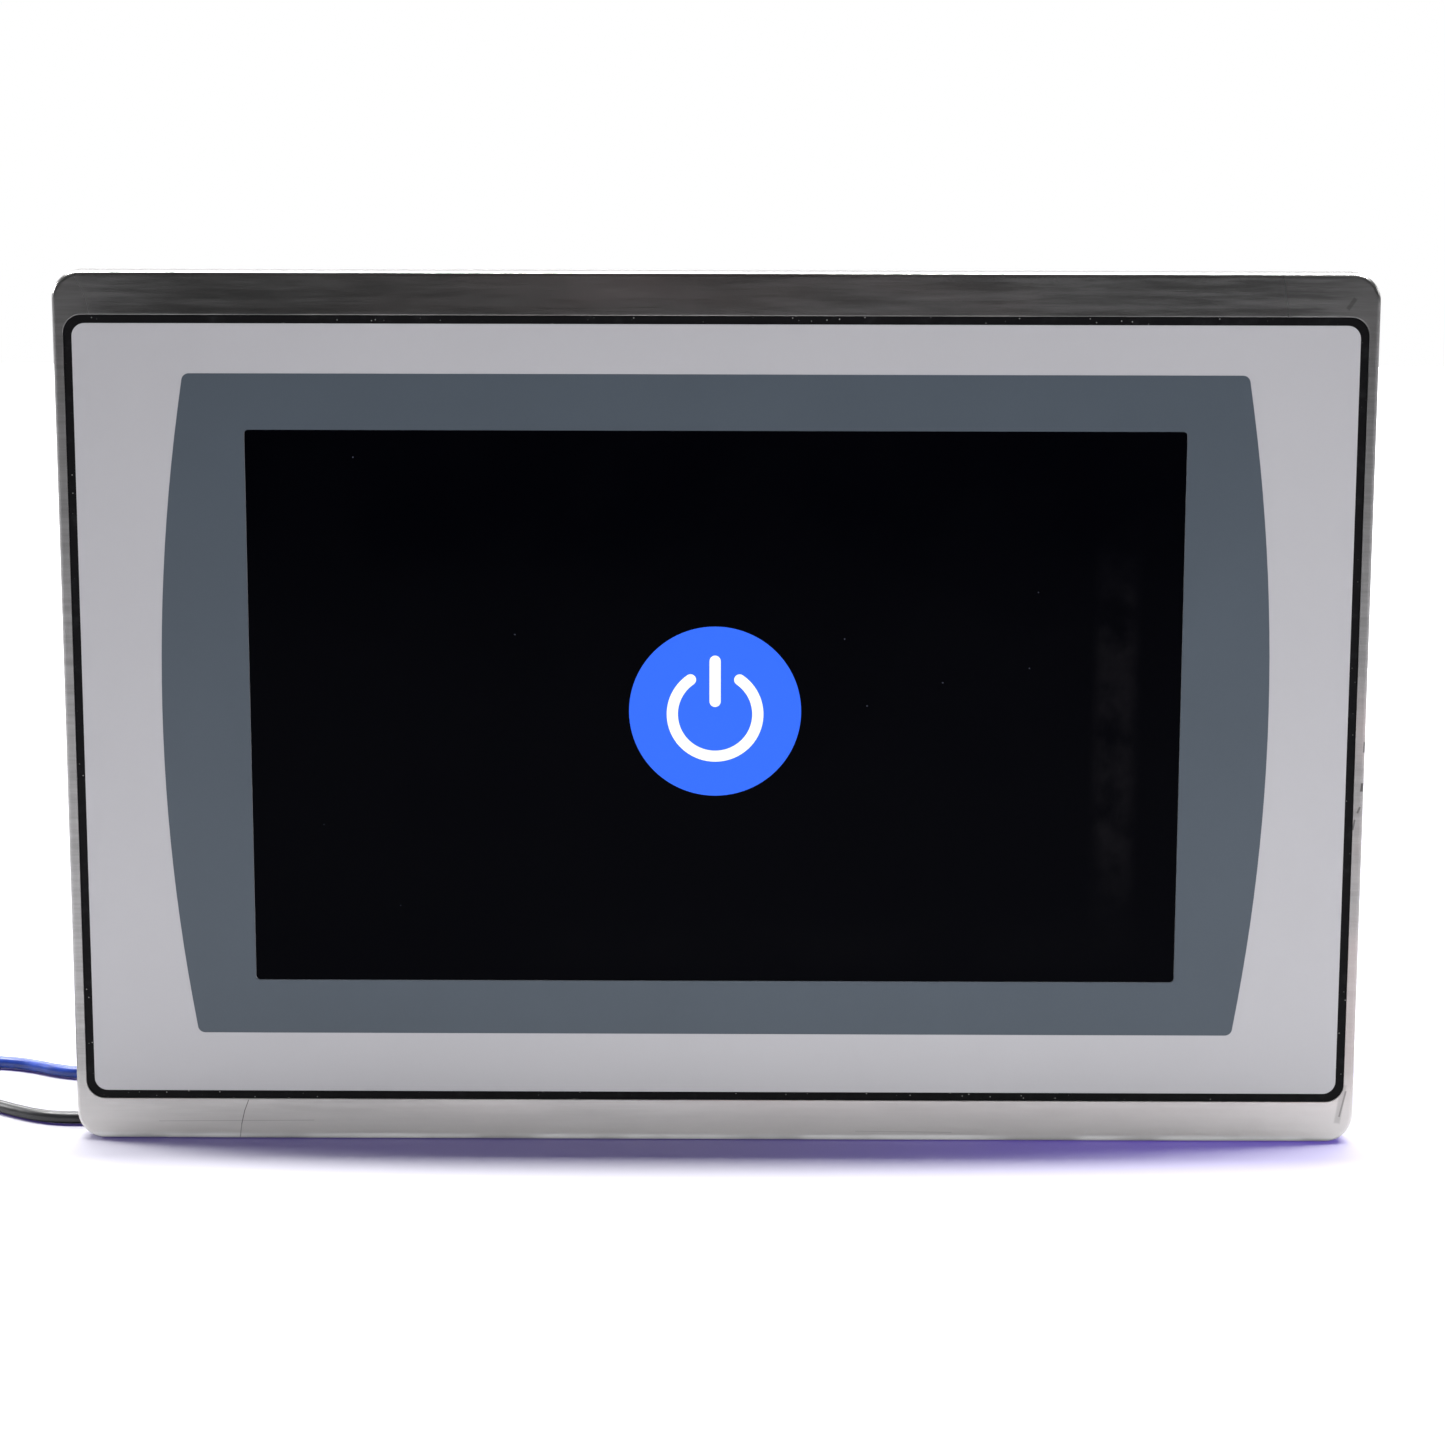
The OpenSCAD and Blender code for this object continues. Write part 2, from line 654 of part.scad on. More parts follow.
module rear_housing() {
    color("lightslategray") difference() {
        union() {
            difference() {
                union() {
                    translate([0, 0, mid_z]) slab(flange_y, bay_y) round_rect(case_w, case_h, 6);
                    slab(bay_y - e, cover_y) arch(0, 6);
                }
                translate([0, 0, mid_z]) slab(flange_y - e, bay_y - wall)
                    round_rect(case_w - 2 * wall, case_h - 2 * wall, 3.5);
                slab(bay_y - wall - e, cover_y + e) arch(wall, 3.5);
            }
            // lugs for the screws into the bezel
            for (p = bezel_screw_at) slab(flange_y, flange_y + 6) intersection() {
                translate([0, mid_z]) round_rect(case_w - wall, case_h - wall, 5);
                translate(p) square([11.2, 8], center = true);
            }
            // bosses for the cover screws
            for (p = cover_screw_at) slab(cover_y - 14, cover_y) intersection() {
                translate([0, mid_z]) round_rect(case_w - wall, case_h - wall, 5);
                translate(p) square([11, 11], center = true);
            }
            pivot_bosses(5, 7);
            // thicker wall round the card opening
            block([slot_x1 + 0.3, door_y0 - 1, card_z - door_h / 2 - 2],
                [case_w / 2 - wall + e, hinge_y + 3, card_z + door_h / 2 + 2]);
            // hinge lugs of the card door
            for (s = [-1, 1]) {
                z0 = card_z + s * (door_h / 2 - 2.4) - 2.2;
                rod_z(z0, z0 + 4.4, hinge_x, hinge_y, hinge_r);
                block([case_w / 2 - wall, hinge_y - hinge_r, z0],
                    [hinge_x, hinge_y + hinge_r, z0 + 4.4]);
            }
        }
        for (p = bezel_screw_at) rod_y(flange_y - e, flange_y + 6 + e, p[0], p[1], 1.7);
        for (p = cover_screw_at) rod_y(cover_y - 10, cover_y + e, p[0], p[1], 1.25);
        pivot_holes();
        bay_cutouts();
        card_opening();
        vents();
    }
}

// Tapped holes for the lever screws
module pivot_holes() {
    for (x = [-lever_x, lever_x]) {
        rod_z(case_z0 - e, case_z0 + 6, x, pivot_y, 2);
        rod_z(case_z1 - 6, case_z1 + e, x, pivot_y, 2);
    }
    rod_x(-case_w / 2 - e, -case_w / 2 + 6, pivot_y, mid_z, 2);
    rod_x(case_w / 2 - 6, case_w / 2 + e, pivot_y, mid_z, 2);
}

// Openings in the bay: sockets through the ledge, power, reset and earth through its wall
module bay_cutouts() {
    g = 0.3;
    z0 = ledge_z - e;
    z1 = ledge_z + wall + e;
    block([jack_x[0] - 9 - g, parts_y - g, z0], [jack_x[1] + 9 + g, jack_y1 + g, z1]);
    block([usb_x - 7.3 - g, parts_y - g, z0], [usb_x + 7.3 + g, parts_y + 16 + g, z1]);
    block([usb_dev_x - 6 - g, parts_y - g, z0], [usb_dev_x + 6 + g, parts_y + 11 + g, z1]);
    for (x = [66, 74]) rod_z(z0, z1, x, parts_y + 5, 1.6);
    block([plug_x - 9 - g, bay_y - wall - e, header_z - 5 - g],
        [plug_x + 9 + g, bay_y + e, header_z + 5 + g]);
    rod_y(bay_y - wall - e, bay_y + e, reset_x, reset_z, reset_r + run);
    rod_y(bay_y - wall - e, bay_y + e, earth_x, earth_z, 2 + run);
}

module card_opening() {
    x0 = slot_x1 + 0.2;
    block([x0, card_y - 1.6, card_z - card_h / 2 - 0.6],
        [case_w / 2 + e, card_y + 1.6, card_z + card_h / 2 + 0.6]);
    // shallow recess that takes the closed door
    block([door_x0 - 0.2, door_y0 - 0.3, card_z - door_h / 2 - 0.3],
        [case_w / 2 + 3, hinge_y - hinge_r - 0.1, card_z + door_h / 2 + 0.3]);
    // room for the hinge barrel and the arm behind it
    block([hinge_x - hinge_r - 0.4, hinge_y - hinge_r - 0.2, card_z - door_h / 2 + 4.7],
        [case_w / 2 + 3, hinge_y + hinge_r + 1.2, card_z + door_h / 2 - 4.7]);
    rod_z(card_z - door_h / 2 + 0.4, card_z + door_h / 2 - 0.4, hinge_x, hinge_y, pin_r);
}

// Rows of cooling slots through the top wall and the side walls
module vents() {
    for (x = [-80 : 8 : 80])
        block([x - 1.5, parts_y + 4, case_z1 - wall - e], [x + 1.5, cover_y - 10, case_z1 + e]);
    for (s = [-1, 1], z = [40 : 8 : 72])
        block([s * (case_w / 2 - wall / 2) - 2, parts_y + 4, z - 1.5],
            [s * (case_w / 2 - wall / 2) + 2, cover_y - 14, z + 1.5]);
}

module rear_cover() {
    color("lightslategray") difference() {
        union() {
            slab(cover_y, plate_y) arch(0, 6);
            // upright cooling ribs
            for (x = [-60 : 8 : 60])
                slab(plate_y - e, total_d / 2) translate([x, 117]) round_rect(2.4, 76, 1.1);
            // raised pads round the screws
            for (p = cover_screw_at)
                rod_y(plate_y - e, plate_y + 0.8, p[0], p[1], 5);
        }
        for (p = cover_screw_at) rod_y(cover_y - e, plate_y + 1, p[0], p[1], 1.7);
        // shallow recess for the rating plate
        slab(plate_y - 0.3, plate_y + e) translate([93, 118]) round_rect(44.4, 60.4, 2.2);
    }
}

module rating_plate() {
    color("whitesmoke") slab(plate_y - 0.3, plate_y) translate([93, 118])
        round_rect(44, 60, 2);
}

module cover_screws() {
    color("silver") for (p = cover_screw_at)
        screw_y(p[0], p[1], cover_y - 8, plate_y + 0.8, 1.25, 2.9, 1.9);
}

module bezel_screws() {
    color("silver") for (p = bezel_screw_at)
        screw_y(p[0], p[1], seat_y + 1, flange_y + 6, 1.25, 2.9, 2.2);
}

// ---- mounting levers ----

// Lever about the Z axis, standing off the housing at z = 0: the nose points along +X and
// the grip along -X, and the grip stands up to reach
module lever(reach) {
    grip_x = -grip_l + 0.6;            // outer edge of the thumb grip
    difference() {
        union() {
            translate([0, 0, lever_gap]) linear_extrude(lever_t) {
                tapered_arm(7, 3.5, nose_l - 3.5);
                translate([-grip_l + 4, 0]) circle(4);
                translate([-grip_l + 4, -3.94]) square([grip_l - 4, 7.88]);
            }
            // raised thumb grip
            translate([0, 1.5, 0]) rotate([90, 0, 0]) linear_extrude(3)
                polygon([[-8.4, lever_gap + 1], [-8.4, reach - 4], [-10.4, reach],
                    [grip_x + 1.5, reach], [grip_x, reach - 1.5], [grip_x, lever_gap + 1]]);
            // pressure pad on the nose
            translate([nose_l - 3.5, 0, lever_gap + lever_t - e]) cylinder(r = 3, h = 1.2);
        }
        translate([0, 0, -e]) cylinder(r = pivot_r + run, h = lever_t + 2);
    }
}

module lever_at(wall_name) {
    color("silver")
    if (wall_name == "top_left") translate([-lever_x, pivot_y, case_z1]) lever(short_reach);
    else if (wall_name == "top_right")
        translate([lever_x, pivot_y, case_z1]) rotate([0, 0, 180]) lever(short_reach);
    else if (wall_name == "bottom_left")
        translate([-lever_x, pivot_y, case_z0]) rotate([180, 0, 0]) lever(overhang);
    else if (wall_name == "bottom_right")
        translate([lever_x, pivot_y, case_z0]) rotate([180, 0, 180]) lever(overhang);
    else if (wall_name == "left")
        translate([-case_w / 2, pivot_y, mid_z]) rotate([0, -90, 0]) lever(short_reach);
    else mirror([1, 0, 0])
        translate([-case_w / 2, pivot_y, mid_z]) rotate([0, -90, 0]) lever(short_reach);
}

module lever_top_left() { lever_at("top_left"); }
module lever_top_right() { lever_at("top_right"); }
module lever_bottom_left() { lever_at("bottom_left"); }
module lever_bottom_right() { lever_at("bottom_right"); }
module lever_left() { lever_at("left"); }
module lever_right() { lever_at("right"); }

// Shoulder screw that a lever turns on, standing out along +Z
module shoulder_screw() {
    difference() {
        union() {
            translate([0, 0, -5.5]) cylinder(r = 2, h = 6);
            cylinder(r = pivot_r, h = lever_gap + lever_t + 0.3);
            translate([0, 0, lever_gap + lever_t + 0.2]) cylinder(r = 5, h = 2);
        }
        translate([0, 0, lever_gap + lever_t + 1.2]) cylinder(r = 1.75, h = 2, $fn = 6);
    }
}

module lever_screws() {
    color("dimgray") {
        for (x = [-lever_x, lever_x]) {
            translate([x, pivot_y, case_z1]) shoulder_screw();
            translate([x, pivot_y, case_z0]) rotate([180, 0, 0]) shoulder_screw();
        }
        translate([-case_w / 2, pivot_y, mid_z]) rotate([0, -90, 0]) shoulder_screw();
        translate([case_w / 2, pivot_y, mid_z]) rotate([0, 90, 0]) shoulder_screw();
    }
}

// ---- inner cables ----

// Flat strip of width w along X that follows [y, z] points, t thick
module strip(x, w, path, t) {
    for (i = [0 : len(path) - 2]) {
        a = path[i];
        b = path[i + 1];
        d = b - a;
        translate([x, a[0], a[1]]) rotate([atan2(d[1], d[0]), 0, 0])
            translate([-w / 2, -t / 2, -t / 2]) cube([w, norm(d) + t, t]);
    }
}

module touch_flex() {
    color("darkorange") strip(70, 18, [[seat_y + 0.3, 27.4], [bracket_y + bracket_t + 1, 27.4],
        [bracket_y + bracket_t + 1, 75], [pcb_y - 0.2, 75]], 0.4);
}

module display_cable() {
    color("sienna") strip(0, 24, [[bracket_y + 0.3, 139], [bracket_y + bracket_t + 4, 139],
        [bracket_y + bracket_t + 4, 128], [pcb_y - 0.2, 128]], 0.4);
}

module power_harness() {
    color("firebrick") for (x = [-58, -55, -52])
        strip(x, 1.6, [[supply_y1 + 0.8, 52], [supply_y1 + 0.8, 63.6], [pcb_y - 1, 72]], 1.6);
}

// ---- supply leads ----

// Outer shape of a wound coil lying on the floor
module coil_shape(y) {
    translate([coil_x, y, 0]) rotate_extrude() translate([coil_inner_r, 0])
        square([coil_turn_r + lead_d / 2 - coil_inner_r, 2 * lead_d]);
}

// Tail beside the coil at y, running towards +Y or -Y as way is 1 or -1
function tail_at(y, way) = [for (q = tail_route) [coil_x + q[0], y - way * q[1], q[2]]];

module lead_solid(route, y, way) {
    strand(route, lead_d / 2);
    strand(tail_at(y, way), lead_d / 2);
}

// Crimped ferrule: plastic collar and a plain metal barrel, lying on the floor
module ferrule_at(y, way) {
    end = tail_at(y, way)[len(tail_route) - 1];
    translate([end[0], end[1], 2]) rotate([-90 * way, 0, 0]) {
        cylinder(r = 2, h = 6);
        cylinder(r = 1.1, h = 14);
    }
}

module blue_lead() { color("royalblue") lead_solid(blue_route, blue_coil_y, 1); }
module blue_coil() { color("royalblue") coil_shape(blue_coil_y); }
module blue_ferrule() { color("skyblue") ferrule_at(blue_coil_y, 1); }
module black_lead() { color("black") lead_solid(black_route, black_coil_y, -1); }
module black_coil() { color("black") coil_shape(black_coil_y); }
module black_ferrule() { color("dimgray") ferrule_at(black_coil_y, -1); }

front_bezel();
window_seal();
front_film();
touch_glass();
lcd_frame();
lcd_cell();
backlight();
panel_gasket();
display_bracket();
display_screws();
main_board();
board_standoffs();
board_screws();
processor();
heat_sink();
memory_chips();
power_capacitors();
power_inductors();
battery_holder();
coin_cell();
ethernet_jacks();
usb_host_port();
usb_device_port();
card_slot();
memory_card();
card_door();
card_door_pin();
power_board();
power_header();
header_pins();
power_plug();
terminal_screw(-1);  // terminal_screw_1
terminal_screw(0);  // terminal_screw_2
terminal_screw(1);  // terminal_screw_3
reset_switch();
reset_button();
status_lamps();
earth_screw();
rear_housing();
rear_cover();
cover_screws();
bezel_screws();
lever_screws();
lever_top_left();
lever_top_right();
lever_bottom_left();
lever_bottom_right();
lever_left();
lever_right();
touch_flex();
display_cable();
power_harness();
rating_plate();
blue_lead();
blue_coil();
blue_ferrule();
black_lead();
black_coil();
black_ferrule();
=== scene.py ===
"""Looks of the panel-mount touch terminal: camera, cords, materials, printed and lit details."""
import json
import math

import bmesh
import bpy
from mathutils import Euler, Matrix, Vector


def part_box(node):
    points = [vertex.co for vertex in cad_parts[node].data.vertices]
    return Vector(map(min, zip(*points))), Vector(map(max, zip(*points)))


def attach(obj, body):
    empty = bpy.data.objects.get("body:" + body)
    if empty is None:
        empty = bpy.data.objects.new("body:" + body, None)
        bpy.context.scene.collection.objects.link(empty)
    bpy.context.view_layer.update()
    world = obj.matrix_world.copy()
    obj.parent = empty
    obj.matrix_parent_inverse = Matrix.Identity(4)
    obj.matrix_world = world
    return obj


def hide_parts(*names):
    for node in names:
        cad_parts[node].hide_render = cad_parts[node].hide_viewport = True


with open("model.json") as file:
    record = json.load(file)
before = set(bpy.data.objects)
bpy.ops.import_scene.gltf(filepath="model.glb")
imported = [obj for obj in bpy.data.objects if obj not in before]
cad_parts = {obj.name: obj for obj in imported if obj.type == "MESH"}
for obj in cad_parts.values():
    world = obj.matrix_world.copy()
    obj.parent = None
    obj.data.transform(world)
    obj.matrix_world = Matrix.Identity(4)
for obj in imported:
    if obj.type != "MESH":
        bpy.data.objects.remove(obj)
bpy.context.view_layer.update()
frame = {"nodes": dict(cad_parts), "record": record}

MM = 0.001
scene = bpy.context.scene

# ---- places taken from the frame ----

bezel_low, bezel_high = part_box("front_bezel")
film_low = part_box("front_film")[0]
glass_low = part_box("touch_glass")[0]
mid_z = (bezel_low.z + bezel_high.z) / 2
face = Vector((0, bezel_low.y, mid_z))

# The clear window and the slate border of the front film
SCREEN_W, SCREEN_H, SCREEN_R = 200 * MM, 120.4 * MM, 0.9 * MM
SCREEN_UP = 1.3 * MM
BORDER_W, BORDER_H, BORDER_R = 226 * MM, 144.3 * MM, 1.6 * MM
BORDER_BOW = 5.9 * MM
screen_z = mid_z + SCREEN_UP

# ---- camera ----

CAM_DISTANCE = 0.805
CAM_ELEVATION = math.radians(11.06)
CAM_AZIMUTH = math.radians(0.34)
CAM_ROLL = math.radians(0.10)
CAM_LENS = 93.3
OFF_CENTRE = Vector((-1.6 * MM, 1.4 * MM, -CAM_DISTANCE))  # the face's centre in the view

camera = bpy.data.objects.new("camera", bpy.data.cameras.new("camera"))
scene.collection.objects.link(camera)
camera.data.sensor_width = 36
camera.data.lens = CAM_LENS
camera.data.clip_start, camera.data.clip_end = 0.01, 50
camera.rotation_euler = Euler((math.pi / 2 - CAM_ELEVATION, -CAM_ROLL, CAM_AZIMUTH))
camera.location = face - camera.rotation_euler.to_matrix() @ OFF_CENTRE
scene.camera = camera

# ---- materials ----


class Paint:
    """A node material: a Principled shader and the textures that feed it."""

    def __init__(self, name, rough=0.5, metal=0.0, **sockets):
        self.mat = bpy.data.materials.new(name)
        self.mat.use_nodes = True
        self.tree = self.mat.node_tree
        self.shader = self.tree.nodes["Principled BSDF"]
        self.set("Roughness", rough)
        self.set("Metallic", metal)
        for socket, value in sockets.items():
            self.set(socket.replace("_", " "), value)
        self.place = self.tree.nodes.new("ShaderNodeTexCoord").outputs["Object"]

    def set(self, socket, value):
        self.shader.inputs[socket].default_value = value

    def join(self, output, node, socket):
        """Link an output to a node's socket, or set the socket to a number or a colour."""
        if isinstance(output, (int, float)):
            node.inputs[socket].default_value = output
        elif isinstance(output, tuple):
            node.inputs[socket].default_value = (*output, 1)[:4]
        else:
            self.tree.links.new(output, node.inputs[socket])

    def stretched(self, along, shift=0.0):
        """Object coordinates in metres times along = (x, y, z), moved by shift on each axis."""
        node = self.tree.nodes.new("ShaderNodeMapping")
        node.inputs["Scale"].default_value = along
        node.inputs["Location"].default_value = (shift, shift, shift)
        self.join(self.place, node, "Vector")
        return node.outputs["Vector"]

    def noise(self, per_metre, detail=3, rough=0.55, along=(1, 1, 1), shift=0.0):
        node = self.tree.nodes.new("ShaderNodeTexNoise")
        node.inputs["Scale"].default_value = per_metre
        node.inputs["Detail"].default_value = detail
        node.inputs["Roughness"].default_value = rough
        self.join(self.stretched(along, shift), node, "Vector")
        return node.outputs["Fac"]

    def cells(self, per_metre, along=(1, 1, 1)):
        """Distance to the nearest of many scattered points, in cells."""
        node = self.tree.nodes.new("ShaderNodeTexVoronoi")
        node.inputs["Scale"].default_value = per_metre
        self.join(self.stretched(along), node, "Vector")
        return node.outputs["Distance"]

    def math(self, kind, a, b=0.0):
        node = self.tree.nodes.new("ShaderNodeMath")
        node.operation = kind
        self.join(a, node, 0)
        self.join(b, node, 1)
        return node.outputs[0]

    def times(self, first, *others):
        for other in others:
            first = self.math("MULTIPLY", first, other)
        return first

    def size_of(self, value):
        return self.math("ABSOLUTE", value)

    def fade(self, value, low, high, to_low=0.0, to_high=1.0):
        """value from low..high becomes to_low..to_high, smoothly and clamped."""
        node = self.tree.nodes.new("ShaderNodeMapRange")
        node.interpolation_type = "SMOOTHSTEP"
        limits = {"From Min": low, "From Max": high, "To Min": to_low, "To Max": to_high}
        for socket, limit in limits.items():
            self.join(limit, node, socket)
        self.join(value, node, "Value")
        return node.outputs["Result"]

    def mix(self, factor, a, b):
        node = self.tree.nodes.new("ShaderNodeMix")
        node.data_type = "RGBA"
        self.join(factor, node, 0)
        self.join(a, node, 6)
        self.join(b, node, 7)
        return node.outputs[2]

    def coordinate(self, axis):
        node = self.tree.nodes.new("ShaderNodeSeparateXYZ")
        self.join(self.place, node, "Vector")
        return node.outputs["XYZ".index(axis)]

    def colour(self, output):
        self.join(output, self.shader, "Base Color")
        return self

    def gloss(self, output):
        self.join(output, self.shader, "Roughness")
        return self

    def relief(self, height, depth, strength=1.0, rounded=0.0):
        """Bump of the given depth in metres; rounded softens the mesh's sharp edges."""
        node = self.tree.nodes.new("ShaderNodeBump")
        node.inputs["Strength"].default_value = strength
        node.inputs["Distance"].default_value = depth
        self.join(height, node, "Height")
        if rounded:
            edge = self.tree.nodes.new("ShaderNodeBevel")
            edge.samples = 4
            edge.inputs["Radius"].default_value = rounded
            self.join(edge.outputs["Normal"], node, "Normal")
        self.join(node.outputs["Normal"], self.shader, "Normal")
        return self

    def ticks(self, position, per_metre, share):
        """Narrow ticks scattered along a position in metres, 1 inside a tick."""
        node = self.tree.nodes.new("ShaderNodeTexNoise")
        node.noise_dimensions = "1D"
        node.inputs["Scale"].default_value = per_metre
        node.inputs["Detail"].default_value = 2
        self.join(position, node, "W")
        return self.fade(node.outputs["Fac"], share, share + 0.03)

    def scratch(self, a, b, width):
        """1 on a straight scratch from a to b on the face, points in millimetres as (x, z)."""
        x, z = self.coordinate("X"), self.coordinate("Z")
        (ax, az), (bx, bz) = [(p * MM, q * MM) for p, q in (a, b)]
        length = math.hypot(bx - ax, bz - az)
        ux, uz = (bx - ax) / length, (bz - az) / length
        from_x, from_z = self.math("SUBTRACT", x, ax), self.math("SUBTRACT", z, az)
        along = self.math("ADD", self.times(from_x, ux), self.times(from_z, uz))
        across = self.math("SUBTRACT", self.times(from_x, uz), self.times(from_z, ux))
        off_end = self.math("MAXIMUM", self.times(along, -1.0), self.math("SUBTRACT", along, length))
        far = self.math("MAXIMUM", self.size_of(across), off_end)
        return self.fade(far, width * 0.4, width, 1.0, 0.0)


def scaled(colour, k):
    return tuple(min(1.0, c * k) for c in colour)


def smaller(along, k):
    return tuple(c * k for c in along)


def speckled(name, base, rough, grain=1800, depth=0.00003, spread=0.18, edge=0.0003, metal=0.0,
             **sockets):
    """Moulded, cast or coated surface: mottled colour, uneven gloss, a fine grain and edges rounded
    as by wear.
    """
    p = Paint(name, rough, metal, **sockets)
    large = p.noise(60, 4)
    fine = p.noise(grain, 3)
    tone = p.mix(large, scaled(base, 1 - spread), scaled(base, 1 + spread))
    p.colour(p.mix(p.times(fine, 0.35), tone, scaled(base, 1 + 2.2 * spread)))
    p.gloss(p.fade(p.noise(220, 3, shift=3.0), 0.3, 0.7, rough - 0.07, rough + 0.09))
    p.relief(fine, depth, 0.6, edge)
    return p.mat


def brushed(name, dark, light, rough, along, metal=1.0, depth=0.00002, edge=0.0003):
    """Metal with a fine grain along the axis whose factor in along is small."""
    p = Paint(name, rough, metal)
    streak = p.noise(1.0, 4, 0.7, along=along)
    broad = p.noise(1.0, 3, 0.6, along=smaller(along, 0.22), shift=5.0)
    blotch = p.noise(28, 3)
    tone = p.mix(p.fade(streak, 0.3, 0.7), dark, light)
    p.colour(p.mix(p.times(broad, 0.5), tone, dark))
    p.gloss(p.math("ADD", p.fade(blotch, 0.3, 0.7, rough - 0.05, rough + 0.06),
                   p.times(streak, 0.08)))
    p.relief(streak, depth, 0.5, edge)
    return p


# Where one look of the bezel gives way to another, as depths behind its face
FACE_ENDS = (0.4 * MM, 0.9 * MM)
SIDE_ENDS = (5.5 * MM, 5.9 * MM)
STEEL_UPRIGHT = (0.27, 0.268, 0.265)
STEEL_WARM = (0.47, 0.405, 0.395)
STEEL_BACK = (0.28, 0.278, 0.274)
# painted highlight: the face is painted paler along its bottom, in place of a bright reflection
# there
STEEL_PAINTED_LOW_HIGHLIGHT = (0.86, 0.84, 0.832)
# painted highlight along the lower edge; also the colour of the real nicks rising from it
STEEL_EDGE_HIGHLIGHT_AND_NICKS = (0.86, 0.86, 0.87)
# painted shade: the bezel's outer side faces are painted darker, damping their reflections
STEEL_SIDE_SHADE = (0.13, 0.13, 0.13)
STEEL_SCRATCHED = (0.07, 0.067, 0.065)
# Scratches on the bezel's face: ends in millimetres (x, z), width in millimetres, depth of tone
SCRATCHES = (
    ((-104.3, 0.4), (-103.9, 3.4), 0.14, 0.5), ((-103.9, 3.4), (-103.2, 6.4), 0.13, 0.75),
    ((-103.2, 6.4), (-102.3, 8.8), 0.13, 0.75), ((-37, 182.3), (-12, 182.6), 0.09, 0.4),
    ((22, 184.1), (61, 183.9), 0.08, 0.4), ((96, 186.2), (109, 185.8), 0.09, 0.5),
    ((133.2, 182.8), (134.3, 184.4), 0.6, 0.4), ((-122, 4.0), (-88, 4.3), 0.08, 0.3),
    ((31, 2.2), (52, 2.0), 0.08, 0.3), ((138.2, 11.5), (137.0, 6.0), 0.3, 0.6),
    ((137.7, 12.5), (136.6, 5.0), 0.9, 0.25),
    ((139.75, 89.4), (139.7, 87.6), 0.35, 0.9), ((139.5, 80.3), (139.4, 79.1), 0.45, 0.9),
    ((139.1, 75.2), (138.7, 74.2), 0.3, 0.7), ((138.1, 72.4), (137.8, 70.5), 0.25, 0.8))


def steel_tone(p, grain, x, z, front):
    """Colour of the steel away from its edge highlight and nicks: grain, plainer uprights, warm
    tints, and a painted highlight that makes it paler towards the bottom.
    """
    tone = p.mix(p.fade(p.size_of(x), 128 * MM, 137 * MM, 0.0, 0.65), grain, STEEL_UPRIGHT)
    cool_spot = p.times(p.fade(x, 60 * MM, 75 * MM), p.fade(z, 90 * MM, 110 * MM))
    warm = p.times(p.fade(x, -100 * MM, -30 * MM), p.math("SUBTRACT", 1.0, cool_spot), front,
                   p.fade(p.noise(24, 3, along=(0.5, 1, 2)), 0.3, 0.62))
    tone = p.mix(p.times(warm, 0.55), tone, STEEL_WARM)
    tone = p.mix(p.fade(front, 0.0, 1.0, 0.6, 0.0), tone, STEEL_BACK)
    # painted highlight: the face turns paler towards the bottom
    painted_low_highlight = p.times(p.fade(z, 0.0, 20 * MM, 1.0, 0.0), front)
    return p.mix(p.times(painted_low_highlight, 0.9), tone, STEEL_PAINTED_LOW_HIGHLIGHT)


def steel_gloss(p, x, z):
    """Roughness of the face: scuffed matt below, glossier along the top but not in its corners."""
    low = p.fade(z, 2 * MM, 22 * MM, p.fade(x, -120 * MM, -20 * MM, 0.3, 0.15), 0.0)
    top = p.times(p.fade(z, 161 * MM, 174 * MM), p.fade(p.size_of(x), 100 * MM, 142 * MM, 1.0, 0.3))
    high = p.fade(top, 0.0, 1.0, 0.29, p.fade(x, -80 * MM, 130 * MM, 0.16, 0.225))
    return p.math("ADD", p.math("ADD", low, high), p.times(p.noise(28, 3), 0.06))


def lower_edge_highlight_and_nicks(p, x, z):
    """The lower edge, with a painted highlight in broken lengths, and short nicks rising from it."""
    # painted highlight along the lower edge, in broken lengths
    painted_edge_highlight = p.times(p.fade(z, 1.1 * MM, 1.8 * MM, 1.0, 0.0),
                     p.fade(p.noise(34, 3, along=(1, 0, 0)), 0.36, 0.56, 0.35, 1.0))
    leaning = p.math("ADD", x, p.times(z, -0.5))
    nicks = p.times(p.fade(z, 1.2 * MM, 3.2 * MM, 1.0, 0.0), p.ticks(leaning, 900, 0.68),
                    p.fade(x, 45 * MM, 60 * MM))
    return p.math("MAXIMUM", p.times(painted_edge_highlight, 0.85), p.times(nicks, 0.4))


